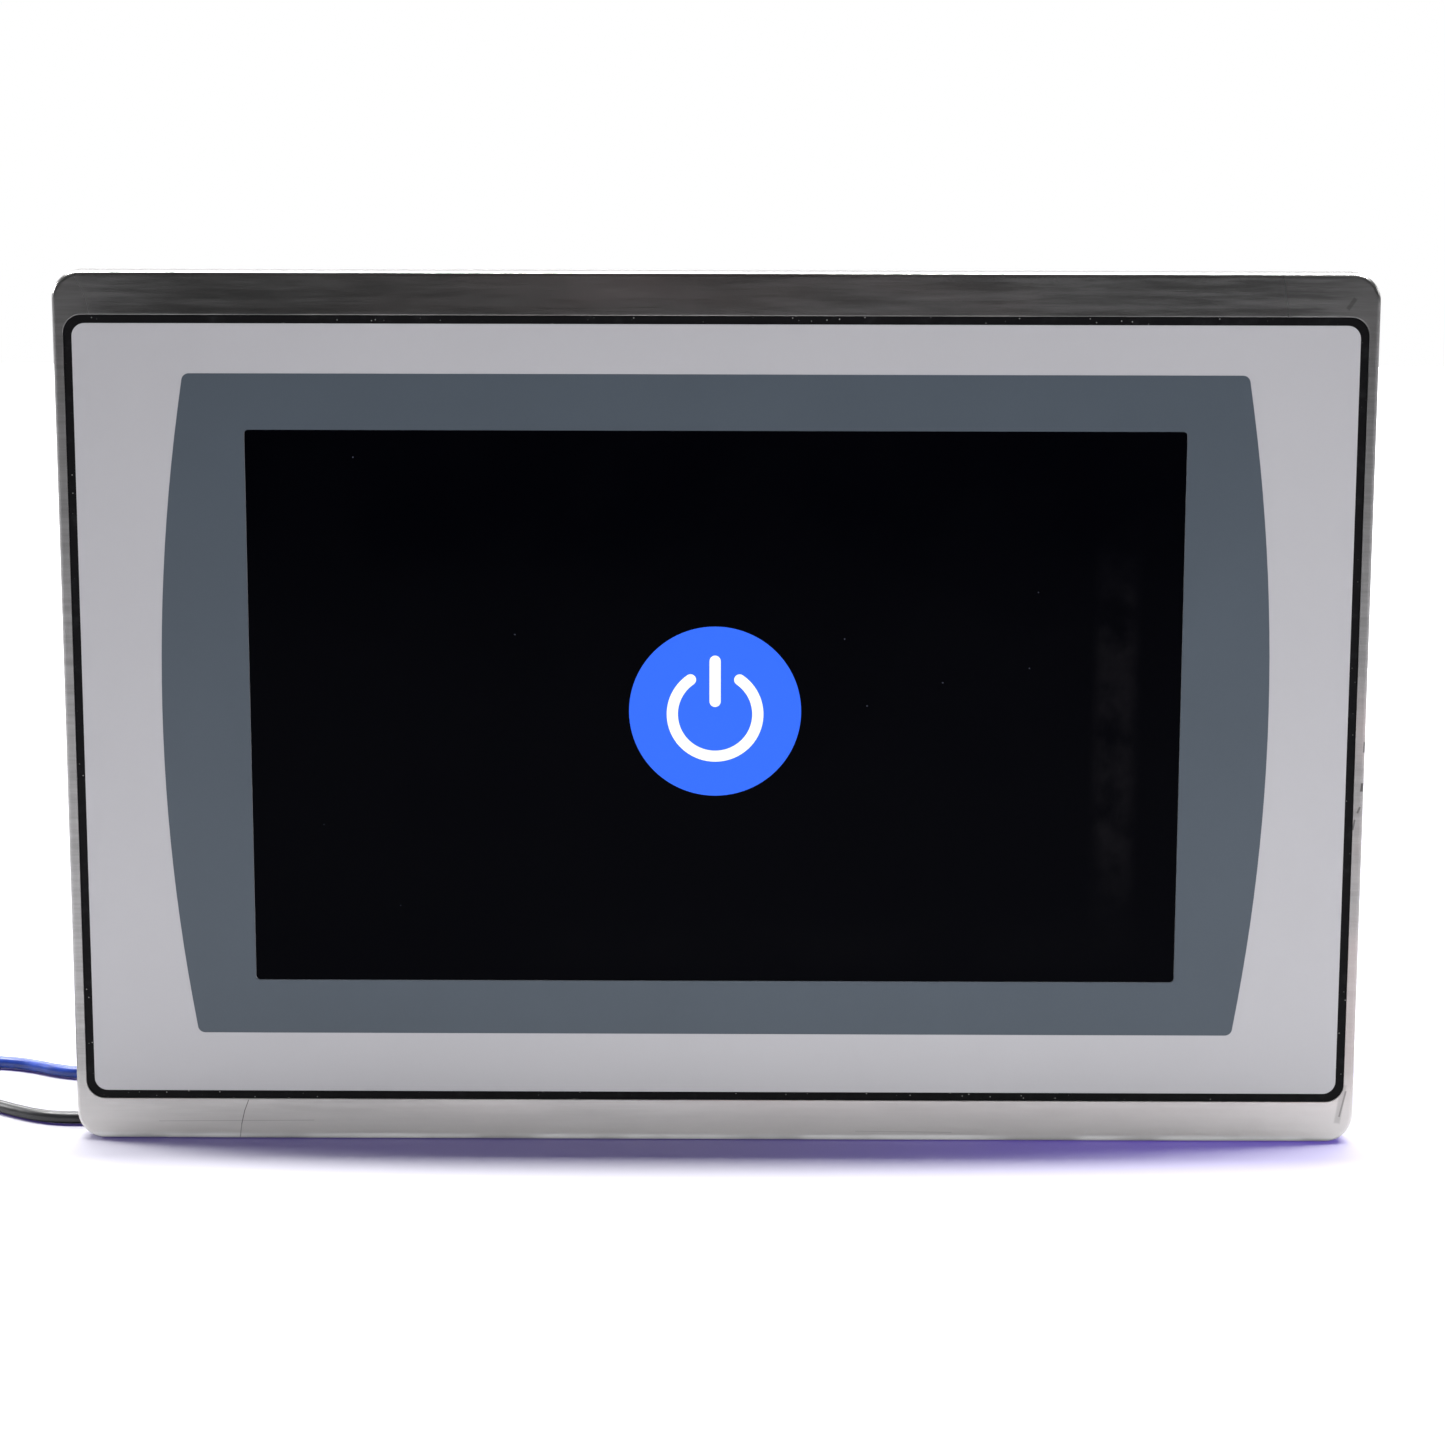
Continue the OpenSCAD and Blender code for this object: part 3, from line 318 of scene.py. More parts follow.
def stainless(name):
    """Brushed stainless of the bezel: grain along X, warm tints, a painted highlight along the lower
    edge with nicks rising from it, painted shade on the side faces, a painted paler strip along the
    bottom, scratches.
    """
    p = brushed(name, (0.17, 0.169, 0.167), (0.41, 0.408, 0.403), 0.2, (40, 620, 620),
                depth=0.0000007)
    grain = p.shader.inputs["Base Color"].links[0].from_socket
    x, y, z = (p.coordinate(axis) for axis in "XYZ")
    front = p.fade(y, bezel_low.y + FACE_ENDS[0], bezel_low.y + FACE_ENDS[1], 1.0, 0.0)
    to_side = p.fade(y, bezel_low.y + SIDE_ENDS[0], bezel_low.y + SIDE_ENDS[1], 1.0, 0.0)
    side = p.math("SUBTRACT", to_side, front)
    # painted highlight along the lower edge, together with the real nicks
    edge_highlight_and_nicks = p.times(lower_edge_highlight_and_nicks(p, x, z), front)
    marks = 0.0
    for start, end, width, deep in SCRATCHES:
        marks = p.math("MAXIMUM", marks, p.times(p.scratch(start, end, width * MM), deep))
    tone = p.mix(edge_highlight_and_nicks, steel_tone(p, grain, x, z, front), STEEL_EDGE_HIGHLIGHT_AND_NICKS)
    # painted shade on the bezel's outer side faces
    tone = p.mix(side, tone, STEEL_SIDE_SHADE)
    p.colour(p.mix(p.times(marks, front), tone, STEEL_SCRATCHED))
    p.gloss(p.fade(front, 0.0, 1.0, 0.36, steel_gloss(p, x, z)))
    # less metallic towards the bottom; with the painted paler strip this brightens the bottom of the
    # face
    scuffed = p.times(p.fade(z, 0.0, 10 * MM, 0.5, 0.1), front)
    dull = p.math("MAXIMUM", scuffed, p.times(side, 0.8))
    p.join(p.fade(p.math("MAXIMUM", edge_highlight_and_nicks, dull), 0.0, 1.0, 1.0, 0.1), p.shader, "Metallic")
    return p.mat


def film_grey(name):
    base = (0.455, 0.452, 0.472)
    p = Paint(name, 0.5, Specular_IOR_Level=0.4)
    fine = p.noise(3200, 2)
    p.colour(p.mix(p.noise(22, 3), scaled(base, 0.965), scaled(base, 1.03)))
    p.gloss(p.fade(fine, 0.3, 0.7, 0.46, 0.56))
    p.relief(fine, 0.000012, 0.5)
    return p.mat


def slate_ink(name):
    base = (0.059, 0.077, 0.098)
    p = Paint(name, 0.42, Specular_IOR_Level=0.42)
    fine = p.noise(3600, 2)
    p.colour(p.mix(p.noise(30, 3), scaled(base, 0.93), scaled(base, 1.07)))
    p.gloss(p.fade(fine, 0.3, 0.7, 0.38, 0.5))
    p.relief(fine, 0.000012, 0.5)
    return p.mat


def dark_screen(name):
    """Coated touch glass over a dark display: near black, with dust specks and a faint lighter
    vertical streak.
    """
    p = Paint(name, 0.14, Specular_IOR_Level=0.015)
    specks = p.fade(p.cells(105), 0.012, 0.022, 1.0, 0.0)
    x, z = p.coordinate("X"), p.coordinate("Z")
    from_streak = p.size_of(p.math("SUBTRACT", x, 86 * MM))
    from_middle = p.size_of(p.math("SUBTRACT", z, 90 * MM))
    streak = p.times(p.fade(from_streak, 2 * MM, 6 * MM, 1.0, 0.0),
                     p.fade(from_middle, 20 * MM, 50 * MM, 1.0, 0.0),
                     p.fade(p.noise(90, 4), 0.3, 0.7))
    tone = p.mix(streak, (0.0006, 0.0007, 0.0016), (0.0055, 0.0052, 0.0065))
    p.colour(p.mix(specks, tone, (0.05, 0.055, 0.075)))
    p.gloss(p.fade(p.noise(34, 4), 0.35, 0.65, 0.1, 0.2))
    p.relief(p.noise(900, 2), 0.000002, 0.3)
    return p.mat


def dusty_rubber(name):
    p = Paint(name, 0.6, Specular_IOR_Level=0.12)
    dust = p.times(p.fade(p.cells(650), 0.05, 0.11, 1.0, 0.0),
                  p.fade(p.noise(45, 2), 0.42, 0.6, 0.1, 1.0))
    bloom = p.fade(p.noise(300, 4, 0.6), 0.5, 0.8)
    p.colour(p.mix(dust, p.mix(bloom, (0.0025, 0.0025, 0.003), (0.012, 0.012, 0.013)),
                   (0.35, 0.35, 0.34)))
    p.gloss(p.fade(p.noise(300, 2), 0.3, 0.7, 0.5, 0.7))
    p.relief(p.noise(1400, 3), 0.00004, 0.6, 0.0002)
    return p.mat


def board(name):
    """Solder mask with copper tracks that show as slightly lighter lines."""
    p = Paint(name, 0.32)
    tracks_per_metre = 420.0
    x, z = (p.math("FRACT", p.times(p.coordinate(axis), tracks_per_metre)) for axis in "XZ")
    pick = p.fade(p.noise(46, 1), 0.49, 0.51)
    line = p.fade(p.mix(pick, x, z), 0.3, 0.42, 1.0, 0.0)
    track = p.times(line, p.fade(p.noise(75, 1, shift=2.0), 0.45, 0.5))
    p.colour(p.mix(track, (0.006, 0.075, 0.03), (0.02, 0.17, 0.075)))
    p.relief(track, 0.00004, 0.6)
    return p.mat


def lit(name, colour, strength):
    """Lit pixels of the screen behind the glass: a faint dot grid over an even glow."""
    p = Paint(name, 0.16, Specular_IOR_Level=0.03)
    p.colour(scaled(colour, 0.2))
    dots = 12000.0                     # radians of the grid per metre
    grid = p.times(*(p.math("SINE", p.times(p.coordinate(axis), dots)) for axis in "XZ"))
    glow = p.fade(grid, -1.0, 1.0)
    p.join(p.mix(glow, scaled(colour, 0.93), colour), p.shader, "Emission Color")
    p.set("Emission Strength", strength)
    return p.mat


def wire_coat(name, base):
    """Extruded PVC with a soft sheen and faint rub marks."""
    p = Paint(name, 0.38, Coat_Weight=0.15, Coat_Roughness=0.3)
    p.colour(p.mix(p.fade(p.noise(260, 4), 0.4, 0.75), base, scaled(base, 1.7)))
    p.gloss(p.fade(p.noise(420, 3, shift=1.0), 0.3, 0.7, 0.3, 0.46))
    p.relief(p.noise(1500, 2), 0.00002, 0.5)
    return p.mat


STEEL_ROUND = (900, 900, 900)
START_BLUE = (0.036, 0.145, 0.95)
START_WHITE = (0.96, 0.97, 1.0)
PAINTS = {
    "stainless_bezel": stainless,
    "black_seal": dusty_rubber,
    "grey_film": film_grey,
    "slate_print": slate_ink,
    "screen_light": lambda name: lit(name, START_BLUE, 1.0),
    "screen_glass": dark_screen,
    "board_green": board,
    "lcd_black": lambda name: speckled(name, (0.01, 0.01, 0.013), 0.2, depth=0.000004),
    "zinc_sheet": lambda name: brushed(name, (0.5, 0.51, 0.52), (0.68, 0.69, 0.69), 0.38,
                                       (60, 900, 500)).mat,
    "white_plastic": lambda name: speckled(name, (0.72, 0.72, 0.69), 0.45, spread=0.05),
    "gasket_foam": lambda name: speckled(name, (0.03, 0.03, 0.033), 0.85, grain=2600,
                                         depth=0.0002, spread=0.3),
    "screw_steel": lambda name: brushed(name, (0.3, 0.295, 0.28), (0.46, 0.455, 0.43), 0.27,
                                        STEEL_ROUND, edge=0.00015).mat,
    "screw_black": lambda name: speckled(name, (0.045, 0.045, 0.05), 0.36, metal=0.7,
                                         depth=0.00001, edge=0.00015),
    "brass": lambda name: brushed(name, (0.62, 0.44, 0.18), (0.85, 0.66, 0.33), 0.28, STEEL_ROUND,
                                  edge=0.00015).mat,
    "chip_black": lambda name: speckled(name, (0.02, 0.02, 0.022), 0.5),
    "bare_aluminium": lambda name: brushed(name, (0.6, 0.6, 0.61), (0.78, 0.78, 0.79), 0.36,
                                           (900, 900, 40)).mat,
    "capacitor_sleeve": lambda name: speckled(name, (0.03, 0.03, 0.04), 0.35),
    "socket_shell": lambda name: brushed(name, (0.58, 0.58, 0.57), (0.78, 0.78, 0.77), 0.24,
                                         (500, 500, 60), edge=0.0002).mat,
    "card_plastic": lambda name: speckled(name, (0.02, 0.025, 0.05), 0.4),
    "door_plastic": lambda name: speckled(name, (0.03, 0.03, 0.032), 0.5, edge=0.0002),
    "terminal_green": lambda name: speckled(name, (0.012, 0.2, 0.075), 0.42, spread=0.12,
                                            edge=0.00025),
    "button_red": lambda name: speckled(name, (0.5, 0.02, 0.015), 0.35, edge=0.0002),
    "lamp_green": lambda name: speckled(name, (0.3, 0.75, 0.36), 0.2, spread=0.08,
                                        Transmission_Weight=0.35),
    "cast_housing": lambda name: speckled(name, (0.10, 0.104, 0.11), 0.52, grain=1500,
                                          depth=0.00012, spread=0.14, edge=0.0008),
    "cast_cover": lambda name: speckled(name, (0.105, 0.109, 0.115), 0.5, grain=1500,
                                        depth=0.00012, spread=0.14, edge=0.0006),
    "lever_zinc": lambda name: speckled(name, (0.33, 0.33, 0.335), 0.34, grain=900, metal=1.0,
                                        depth=0.00006, spread=0.12, edge=0.0004),
    "flex_amber": lambda name: speckled(name, (0.42, 0.17, 0.03), 0.3),
    "harness_red": lambda name: wire_coat(name, (0.35, 0.02, 0.015)),
    "blank_label": lambda name: speckled(name, (0.3, 0.305, 0.31), 0.33, grain=2600,
                                         depth=0.00001, spread=0.04),
    "wire_blue": lambda name: wire_coat(name, (0.006, 0.03, 0.22)),
    "wire_black": lambda name: wire_coat(name, (0.008, 0.008, 0.01)),
    "ferrule_blue": lambda name: speckled(name, (0.01, 0.05, 0.24), 0.4),
    "ferrule_black": lambda name: speckled(name, (0.015, 0.015, 0.017), 0.4),
}
made_paints = {}


def paint(slot):
    if slot not in made_paints:
        made_paints[slot] = PAINTS[slot](slot)
    return made_paints[slot]


# ---- mesh helpers ----


def add(name, mesh_or_curve, slot, body, replaces=()):
    piece = bpy.data.objects.new(name, mesh_or_curve)
    scene.collection.objects.link(piece)
    piece.data.materials.append(paint(slot))
    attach(piece, body)
    if replaces:
        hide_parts(*replaces)
    return piece


def mesh_from(name, points, faces, smooth=False):
    mesh = bpy.data.meshes.new(name)
    mesh.from_pydata([tuple(p) for p in points], [], faces)
    mesh.validate()
    fixed = bmesh.new()
    fixed.from_mesh(mesh)
    bmesh.ops.remove_doubles(fixed, verts=fixed.verts, dist=1e-7)
    bmesh.ops.recalc_face_normals(fixed, faces=fixed.faces)
    fixed.to_mesh(mesh)
    fixed.free()
    if smooth:
        for f in mesh.polygons:
            f.use_smooth = True
    return mesh


def ring_slab(outer, inner, y0, y1):
    """Closed slab between two outlines of equally many (x, z) points, from y0 back to y1."""
    n = len(outer)
    points = [(x, y, z) for y in (y0, y1) for loop in (outer, inner) for x, z in loop]
    faces = []
    for i in range(n):
        j = (i + 1) % n
        front, back, hole = 0, 2 * n, n
        faces.append((front + i, front + j, hole + j, hole + i))
        faces.append((back + i, back + hole + i, back + hole + j, back + j))
        faces.append((front + i, back + i, back + j, front + j))
        faces.append((hole + i, hole + j, back + hole + j, back + hole + i))
    return points, faces


def plate(outline, y0, y1):
    """Closed plate of one outline of (x, z) points, from y0 back to y1."""
    n = len(outline)
    points = [(x, y, z) for y in (y0, y1) for x, z in outline]
    faces = [tuple(range(n)), tuple(reversed(range(n, 2 * n)))]
    faces += [(i, n + i, n + (i + 1) % n, (i + 1) % n) for i in range(n)]
    return points, faces


def lathe(profile, centre, axis, steps=40):
    """Closed solid turned about axis through centre, from (along, radius) points in mm."""
    axis = Vector(axis).normalized()
    side = axis.orthogonal().normalized()
    up = axis.cross(side)
    points, faces = [], []
    for along, radius in profile:
        for k in range(steps):
            a = 2 * math.pi * k / steps
            spoke = side * math.cos(a) + up * math.sin(a)
            points.append(centre + (axis * along + spoke * radius) * MM)
    rows = len(profile)
    for r in range(rows - 1):
        for k in range(steps):
            m = (k + 1) % steps
            faces.append((r * steps + k, r * steps + m, (r + 1) * steps + m, (r + 1) * steps + k))
    faces.append(tuple(reversed(range(steps))))
    faces.append(tuple(range((rows - 1) * steps, rows * steps)))
    return points, faces


# ---- supply leads ----

LEAD_D = 2.8 * MM
# Routes from the plug to the coils, in millimetres
BLUE_ROUTE = [
    (-70, -2, 32), (-70, -2, 26), (-70, -1.6, 20), (-70, 0, 13.5), (-70.2, 4, 7.5),
    (-70.8, 9.5, 3.2), (-72.4, 15.6, 1.5), (-76.4, 21.2, 1.4), (-83, 25.6, 1.4),
    (-91, 28.2, 1.4), (-99.5, 29, 1.4), (-108, 28.4, 1.4), (-116, 26.2, 1.4),
    (-124, 22.4, 1.4), (-132, 17.8, 1.4), (-139.5, 13.4, 1.4), (-146, 11.4, 1.4),
    (-152.6, 13, 1.4), (-158, 16.2, 1.4), (-163.2, 18.7, 1.4), (-169, 19.9, 1.4),
    (-176.5, 20.4, 1.4), (-184, 21, 1.4), (-192, 21.6, 1.4), (-200, 21.8, 1.4)]
BLACK_ROUTE = [
    (-75, -2, 32), (-75, -2, 26), (-75, -2.6, 20), (-75.4, -4.6, 14), (-77, -8, 8.4),
    (-80, -11.8, 4.2), (-85, -14.8, 1.8), (-91.5, -16.6, 1.4), (-99, -17.8, 1.4),
    (-107, -18.6, 1.4), (-115, -19.4, 1.4), (-123, -20.8, 1.4), (-131, -22.6, 1.4),
    (-138.5, -23.8, 1.4), (-145.6, -23.8, 1.4), (-151, -22.2, 1.4), (-156, -19.2, 1.4),
    (-161, -15.4, 1.4), (-167, -10.8, 1.4), (-173, -5.8, 1.4), (-179.5, -0.4, 1.4),
    (-186, 4.4, 1.4), (-193, 7.4, 1.4), (-200, 8.2, 1.4)]
# The last stretch, from the coil's centre: off the upper layer and down to the floor
TAIL = [(-18.2, 0, 4.2), (-18.2, -6, 4), (-18.2, -12, 2.6), (-18.2, -18, 1.4), (-18.2, -24, 1.4)]
COIL_X = -200
COIL_OUT = 18.2                        # centreline radius of the outermost turn
COIL_TURNS = 4.25
COIL_STEPS = 24                        # points per turn
TIE_DEGREES = (-20, 55)                # where the ties sit, from +X, mirrored with the coil
BLUE_COIL_Y = 40
BLACK_COIL_Y = -10
RISE_AT, RISE_OVER = 2.125, 0.3        # the lead climbs to its upper layer here, in turns


def coil_point(turn, centre_y, way):
    """Lower layer spirals in, upper layer spirals out; way 1 is the mirror image of -1."""
    pitch = LEAD_D / MM
    inward = min(turn, RISE_AT)
    radius = COIL_OUT - pitch * inward + pitch * max(0.0, turn - RISE_AT)
    t = min(1.0, max(0.0, (turn - RISE_AT) / RISE_OVER + 0.5))
    z = pitch / 2 + pitch * t * t * (3 - 2 * t)
    angle = math.pi / 2 + 2 * math.pi * turn
    return (COIL_X + radius * math.cos(angle), centre_y - way * radius * math.sin(angle), z)


def lead(name, route, centre_y, way, slot, nodes):
    """A lead, its ferrule and its coil's ties; its tail runs towards +Y or -Y as way is 1 or -1."""
    coil = [coil_point(i / COIL_STEPS, centre_y, way)
            for i in range(1, int(COIL_TURNS * COIL_STEPS))]
    tail = [(COIL_X + x, centre_y - way * y, z) for x, y, z in TAIL]
    points = route + coil + tail
    curve = bpy.data.curves.new(name, "CURVE")
    curve.dimensions = "3D"
    curve.bevel_depth = LEAD_D / 2
    curve.bevel_resolution = 6
    curve.resolution_u = 6
    curve.use_fill_caps = True
    spline = curve.splines.new("BEZIER")
    spline.bezier_points.add(len(points) - 1)
    for knot, p in zip(spline.bezier_points, points):
        knot.co = Vector(p) * MM
        knot.handle_left_type = knot.handle_right_type = "AUTO"
    piece = add(name, curve, slot, "plug", nodes)
    end = Vector(tail[-1]) * MM
    ferrule = crimped_ferrule(name.replace("wire", "ferrule"), end, way,
                              slot.replace("wire", "ferrule"), nodes[0].replace("lead", "ferrule"))
    ties = [coil_tie(f"{name.replace('wire', 'tie')}_{i}", coil, centre_y, degrees * way)
            for i, degrees in enumerate(TIE_DEGREES)]


def crimped_ferrule(name, end, way, slot, node):
    """Flared plastic collar, then a tinned barrel with crimp flutes, as (along, radius) in mm."""
    centre = Vector((end.x, end.y, 2.0 * MM))
    collar = [(-0.6, 1.55), (0.1, 1.95), (2.2, 1.9), (4.6, 1.5), (5.9, 1.3), (6.0, 1.05)]
    barrel = [(5.7, 1.0)]
    for flute in range(5):
        start = 6.6 + 1.3 * flute
        barrel += [(start, 1.0), (start + 0.25, 0.86), (start + 0.75, 0.86), (start + 1.0, 1.0)]
    barrel += [(13.4, 1.0), (13.9, 0.85)]
    points, faces = lathe(collar, centre, (0, way, 0))
    piece = add(name, mesh_from(name, points, faces, True), slot, "plug", [node])
    points, faces = lathe(barrel, centre, (0, way, 0))
    tube = add(name + "_barrel", mesh_from(name + "_barrel", points, faces, True), "socket_shell",
               "plug")
    tube.parent = piece
    return piece


def coil_tie(name, coil, centre_y, degrees):
    """Narrow black tie wrapped once round the coil's section there, with its lock head on top."""
    a = math.radians(degrees)
    out = Vector((math.cos(a), math.sin(a), 0))
    across = Vector((-math.sin(a), math.cos(a), 0))
    centre = Vector((COIL_X, centre_y, 0))
    half, thick, corner, half_band = LEAD_D / MM / 2, 0.42, 1.3, 0.9
    near = 2.5                         # the lead's points this close to the tie are inside it
    inside = [p for p in ((Vector(q) - centre) for q in coil)
              if p.dot(out) > 0 and abs(p.dot(across)) < near]
    low = min(p.dot(out) for p in inside) - half - thick
    high = max(p.dot(out) for p in inside) + half + thick
    top = max(p.z for p in inside) + half + thick
    loop = []
    corners = ((high - corner, top - corner, 0), (low + corner, top - corner, 90),
               (low + corner, corner, 180), (high - corner, corner, 270))
    for cu, cz, start in corners:
        for k in range(7):
            b = math.radians(start + 15 * k)
            loop.append((cu + corner * math.cos(b), cz + corner * math.sin(b), b))
    points, faces = [], []
    for u, z, b in loop:
        for v, inset in ((-half_band, 0), (half_band, 0), (half_band, thick), (-half_band, thick)):
            w = u - inset * math.cos(b)
            h = z - inset * math.sin(b)
            points.append((centre + out * w + across * v + Vector((0, 0, h))) * MM)
    n = len(loop)
    for i in range(n):
        j = (i + 1) % n
        for k in range(4):
            m = (k + 1) % 4
            faces.append((4 * i + k, 4 * i + m, 4 * j + m, 4 * j + k))
    # lock head: a small block that sits across the band
    first = len(points)
    mid = (low + high) / 2
    for u, v, h in ((-1.3, -1.4, 0.1), (1.3, -1.4, 0.1), (1.3, 1.4, 0.1), (-1.3, 1.4, 0.1),
                    (-1.1, -1.2, 1.5), (1.1, -1.2, 1.5), (1.1, 1.2, 1.5), (-1.1, 1.2, 1.5)):
        points.append((centre + out * (mid + u) + across * v + Vector((0, 0, top - thick + h))) * MM)
    for f in ((0, 1, 2, 3), (4, 5, 6, 7), (0, 1, 5, 4), (1, 2, 6, 5), (2, 3, 7, 6), (3, 0, 4, 7)):
        faces.append(tuple(first + k for k in f))
    return add(name, mesh_from(name, points, faces), "door_plastic", "plug")


lead("blue_lead_wire", BLUE_ROUTE, BLUE_COIL_Y, 1, "wire_blue", ["blue_lead", "blue_coil"])
lead("black_lead_wire", BLACK_ROUTE, BLACK_COIL_Y, -1, "wire_black", ["black_lead", "black_coil"])

# ---- CAD nodes take their materials ----

slot_of = {row["node"]: row["material_slot"] for row in frame["record"]["subparts"]}
for node_name, node in frame["nodes"].items():
    node.data.materials.clear()
    node.data.materials.append(paint(slot_of[node_name]))

# ---- printed border of the film ----


def corner_arc(cx, cz, r, start, stop, steps):
    return [(cx + r * math.cos(math.radians(start + (stop - start) * k / steps)),
             cz + r * math.sin(math.radians(start + (stop - start) * k / steps)))
            for k in range(steps + 1)]


SIDE_STEPS = 24
CORNER_STEPS = 8


def straight(a, b, steps):
    return [(a[0] + (b[0] - a[0]) * k / steps, a[1] + (b[1] - a[1]) * k / steps)
            for k in range(1, steps)]


def rect_outline(w, h, r, bow=0.0):
    """Rounded rectangle about the screen's centre; bow swells its two sides into arcs."""
    x, z = w / 2 - r, h / 2 - r
    lean = math.degrees(math.atan2(4 * bow, h)) if bow else 0.0

    def side(sign):
        points = straight((sign * w / 2, -sign * z), (sign * w / 2, sign * z), SIDE_STEPS)
        return [(px + sign * bow * (1 - (pz / z) ** 2), pz) for px, pz in points]

    loop = corner_arc(x, z, r, lean, 90, CORNER_STEPS)
    loop += straight((x, h / 2), (-x, h / 2), SIDE_STEPS)
    loop += corner_arc(-x, z, r, 90, 180 - lean, CORNER_STEPS)
    loop += side(-1)
    loop += corner_arc(-x, -z, r, 180 + lean, 270, CORNER_STEPS)
    loop += straight((-x, -h / 2), (x, -h / 2), SIDE_STEPS)
    loop += corner_arc(x, -z, r, 270, 360 - lean, CORNER_STEPS)
    loop += side(1)
    return [(px, pz + screen_z) for px, pz in loop]


INK = 0.03 * MM
outer = rect_outline(BORDER_W, BORDER_H, BORDER_R, BORDER_BOW)
inner = rect_outline(SCREEN_W, SCREEN_H, SCREEN_R)
points, faces = ring_slab(outer, inner, film_low.y - INK, film_low.y + INK / 2)
add("slate_border", mesh_from("slate_border", points, faces), "slate_print", "terminal")

# ---- start-up picture on the screen ----

PICTURE_R = 18.5 * MM
DISC_POINTS = 96
PICTURE_UP = -0.4 * MM                 # its centre, from the screen's
ARC_IN, ARC_OUT, ARC_UP = 8.0 * MM, 10.4 * MM, -0.6 * MM
ARC_FROM, ARC_TO = 125, 415            # degrees, open at the top
BAR_LOW, BAR_HIGH, BAR_R = 2.2 * MM, 11.0 * MM, 1.2 * MM
DISC_OUT, MARK_OUT = 0.08 * MM, 0.11 * MM    # how far they stand before the glass


def annulus(cx, cz, r_in, r_out, start, stop, steps):
    """Open band of a ring from start to stop degrees, with round ends."""
    mid, half = (r_in + r_out) / 2, (r_out - r_in) / 2

    def end(angle, sign):
        a = math.radians(angle)
        ex, ez = cx + mid * math.cos(a), cz + mid * math.sin(a)
        return [(ex + half * math.cos(a + sign * math.pi * k / 10),
                 ez + half * math.sin(a + sign * math.pi * k / 10)) for k in range(1, 10)]

    out = corner_arc(cx, cz, r_out, start, stop, steps)
    back = corner_arc(cx, cz, r_in, stop, start, steps)
    return out + end(stop, 1) + back + list(reversed(end(start, -1)))


def picture(name, outline, proud, colour):
    """One lit shape of the picture, a thin plate that stands proud of the glass."""
    front = glass_low.y - proud
    points, faces = plate(outline, front, front + 0.05 * MM)
    piece = add(name, mesh_from(name, points, faces), "screen_light", "terminal")
    piece.data.materials[0] = lit(name, colour, 1.0)
    return piece


picture_z = screen_z + PICTURE_UP
disc = corner_arc(0, picture_z, PICTURE_R, 0, 360 - 360 / DISC_POINTS, DISC_POINTS - 1)
picture("start_disc", disc, DISC_OUT, START_BLUE)
arc = annulus(0, picture_z + ARC_UP, ARC_IN, ARC_OUT, ARC_FROM, ARC_TO, 60)
picture("start_arc", arc, MARK_OUT, START_WHITE)
bar = (corner_arc(0, picture_z + BAR_HIGH, BAR_R, 0, 180, 12)
       + corner_arc(0, picture_z + BAR_LOW, BAR_R, 180, 360, 12))
picture("start_bar", bar, MARK_OUT, START_WHITE)

# ---- stage and light ----


def area_light(name, at, aim, size, power, mirrored=True):
    """Rectangular light; one that isn't mirrored stays out of reflections."""
    lamp = bpy.data.lights.new(name, "AREA")
    lamp.shape = "RECTANGLE"
    lamp.size, lamp.size_y = size
    lamp.energy = power
    holder = bpy.data.objects.new(name, lamp)
    scene.collection.objects.link(holder)
    holder.location = at
    holder.rotation_euler = (Vector(aim) - Vector(at)).to_track_quat("-Z", "Y").to_euler()
    holder.visible_glossy = mirrored
    return holder


FLOOR_NEAR, FLOOR_FAR, FLOOR_WIDE = -0.85, 1.7, 2.2
SHADOW_TINT = (0.16, 0.04, 1.0)
WHITE = (1.0, 1.0, 1.0)


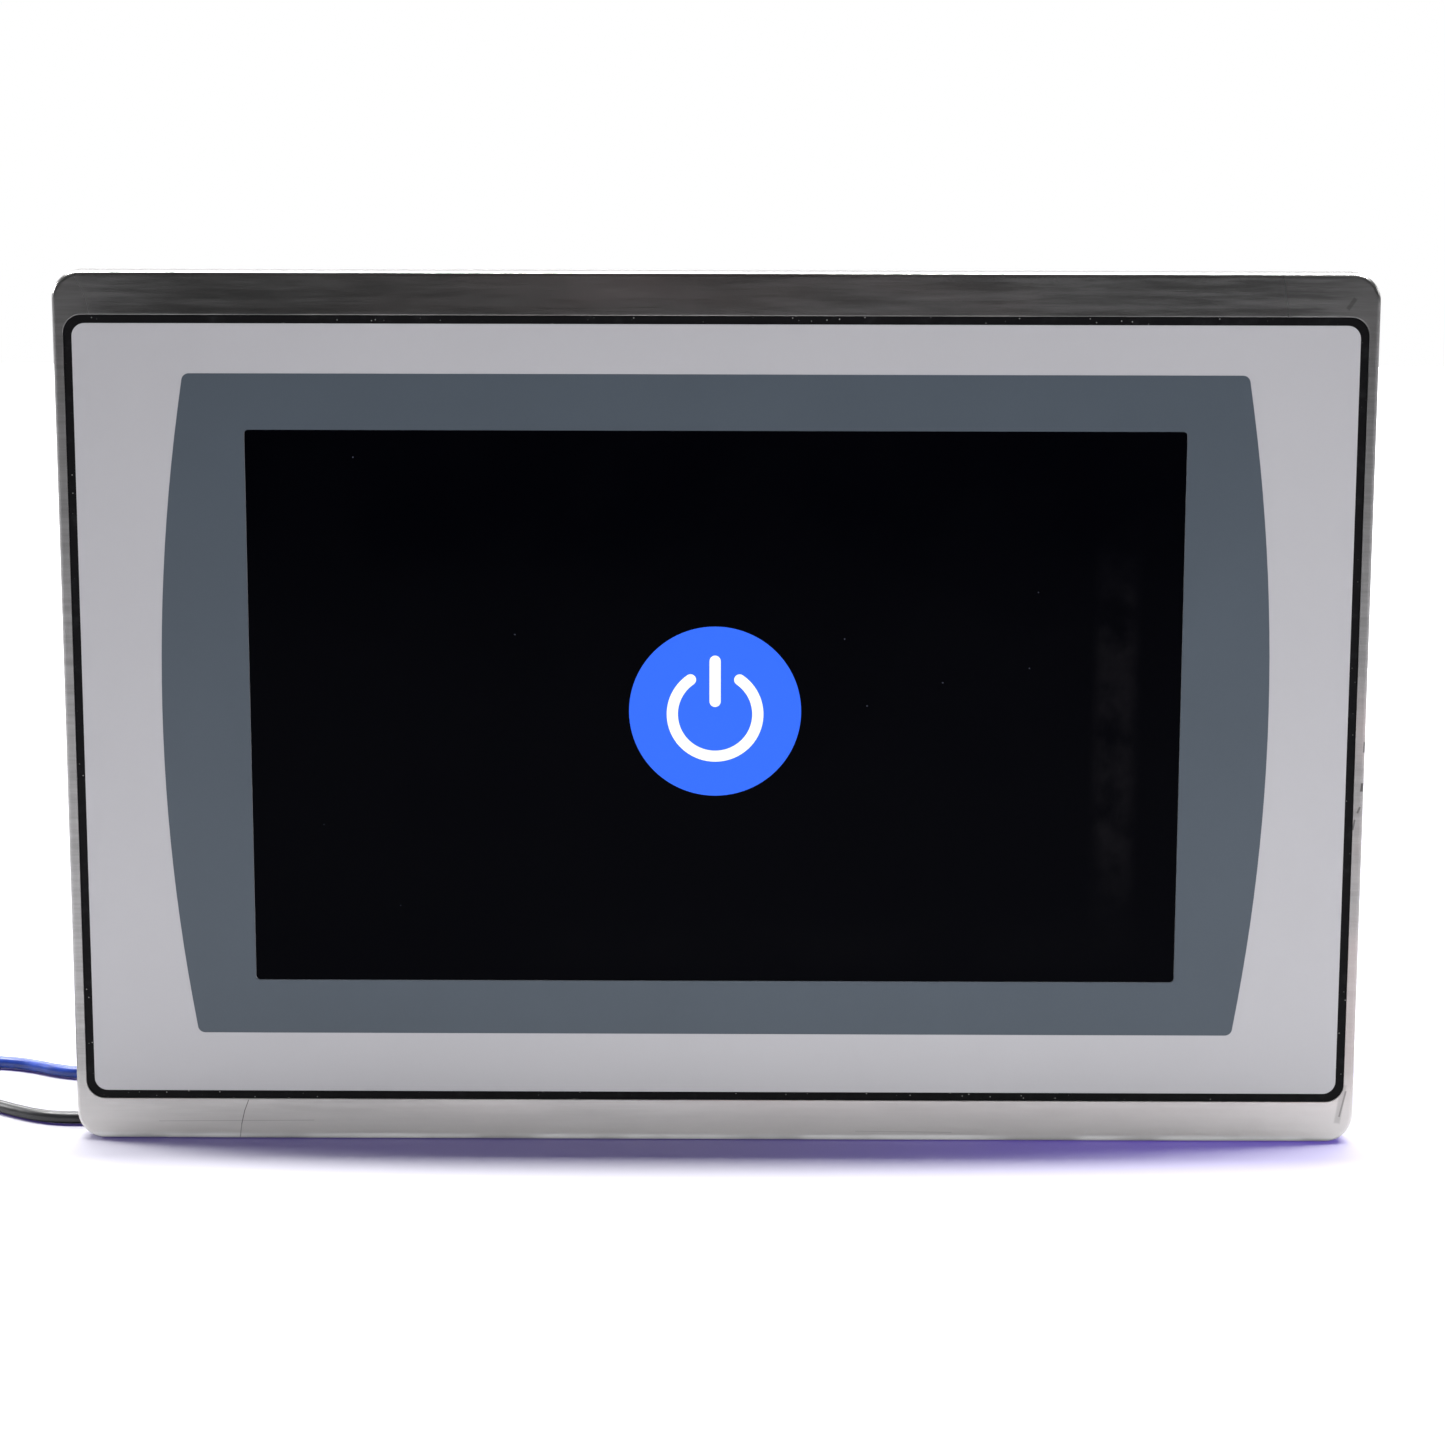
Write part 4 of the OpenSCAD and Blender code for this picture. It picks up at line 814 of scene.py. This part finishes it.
def floor():
    """White table that ends a little in front of the object, beyond which the room is dim.

    Near the object it glows faintly violet, which shows in the shadow; far out it glows white."""
    mesh = mesh_from("floor", [(-FLOOR_WIDE, FLOOR_NEAR, 0), (FLOOR_WIDE, FLOOR_NEAR, 0),
                               (FLOOR_WIDE, FLOOR_FAR, 0), (-FLOOR_WIDE, FLOOR_FAR, 0)],
                     [(0, 1, 2, 3)])
    p = Paint("floor_white", 0.8, Specular_IOR_Level=0.05)
    p.colour(p.mix(p.noise(3, 2), (0.39, 0.386, 0.4), (0.41, 0.406, 0.42)))
    seen = p.tree.nodes.new("ShaderNodeLightPath").outputs["Is Camera Ray"]
    x, y = p.coordinate("X"), p.coordinate("Y")
    away = p.fade(p.math("MAXIMUM", p.size_of(x), p.size_of(y)), 0.3, 0.42)
    p.join(p.mix(away, SHADOW_TINT, WHITE), p.shader, "Emission Color")
    tint = p.fade(x, -0.02, 0.14, 0.09, 0.3)
    p.join(p.times(p.math("MAXIMUM", tint, away), seen), p.shader, "Emission Strength")
    piece = bpy.data.objects.new("floor", mesh)
    piece.data.materials.append(p.mat)
    piece.location.z = -0.2 * MM
    scene.collection.objects.link(piece)


floor()
area_light("overhead", (0.1, 0.13, 1.6), (0.1, 0.13, 0), (2.4, 0.16), 118)
area_light("back", (0.0, 1.7, 1.5), (0, 0.9, 0), (3.0, 0.8), 95)
area_light("front_right", (1.0, -1.05, 0.32), (0, 0, 0.1), (0.6, 0.4), 6, mirrored=False)
low = area_light("front_low", (0.03, -0.22, 0.012), (0.03, 0, 0.012), (0.16, 0.015), 0.1,
                 mirrored=False)
low.visible_camera = False
area_light("left_back", (-1.3, 0.4, 0.5), (-0.15, -0.05, 0), (0.4, 0.3), 18)
area_light("right_back", (1.3, 0.4, 0.5), (0.15, -0.05, 0), (0.4, 0.3), 3)

world = bpy.data.worlds.new("studio")
scene.world = world
world.use_nodes = True
tree = world.node_tree
world_output = tree.nodes["World Output"]
path = tree.nodes.new("ShaderNodeLightPath")


def backdrop(colour, strength):
    node = tree.nodes.new("ShaderNodeBackground")
    node.inputs["Color"].default_value = (*colour, 1)
    node.inputs["Strength"].default_value = strength
    return node.outputs[0]


def switch(is_ray, otherwise, chosen):
    node = tree.nodes.new("ShaderNodeMixShader")
    tree.links.new(path.outputs[is_ray], node.inputs["Fac"])
    tree.links.new(otherwise, node.inputs[1])
    tree.links.new(chosen, node.inputs[2])
    return node.outputs[0]


# white behind the object, a dim room in reflections, soft light from all round
room = switch("Is Glossy Ray", backdrop((0.93, 0.93, 1.0), 0.1), backdrop((1.0, 0.98, 0.98), 0.07))
tree.links.new(switch("Is Camera Ray", room, backdrop(WHITE, 1.0)),
               world_output.inputs["Surface"])
scene.view_settings.view_transform = "Standard"
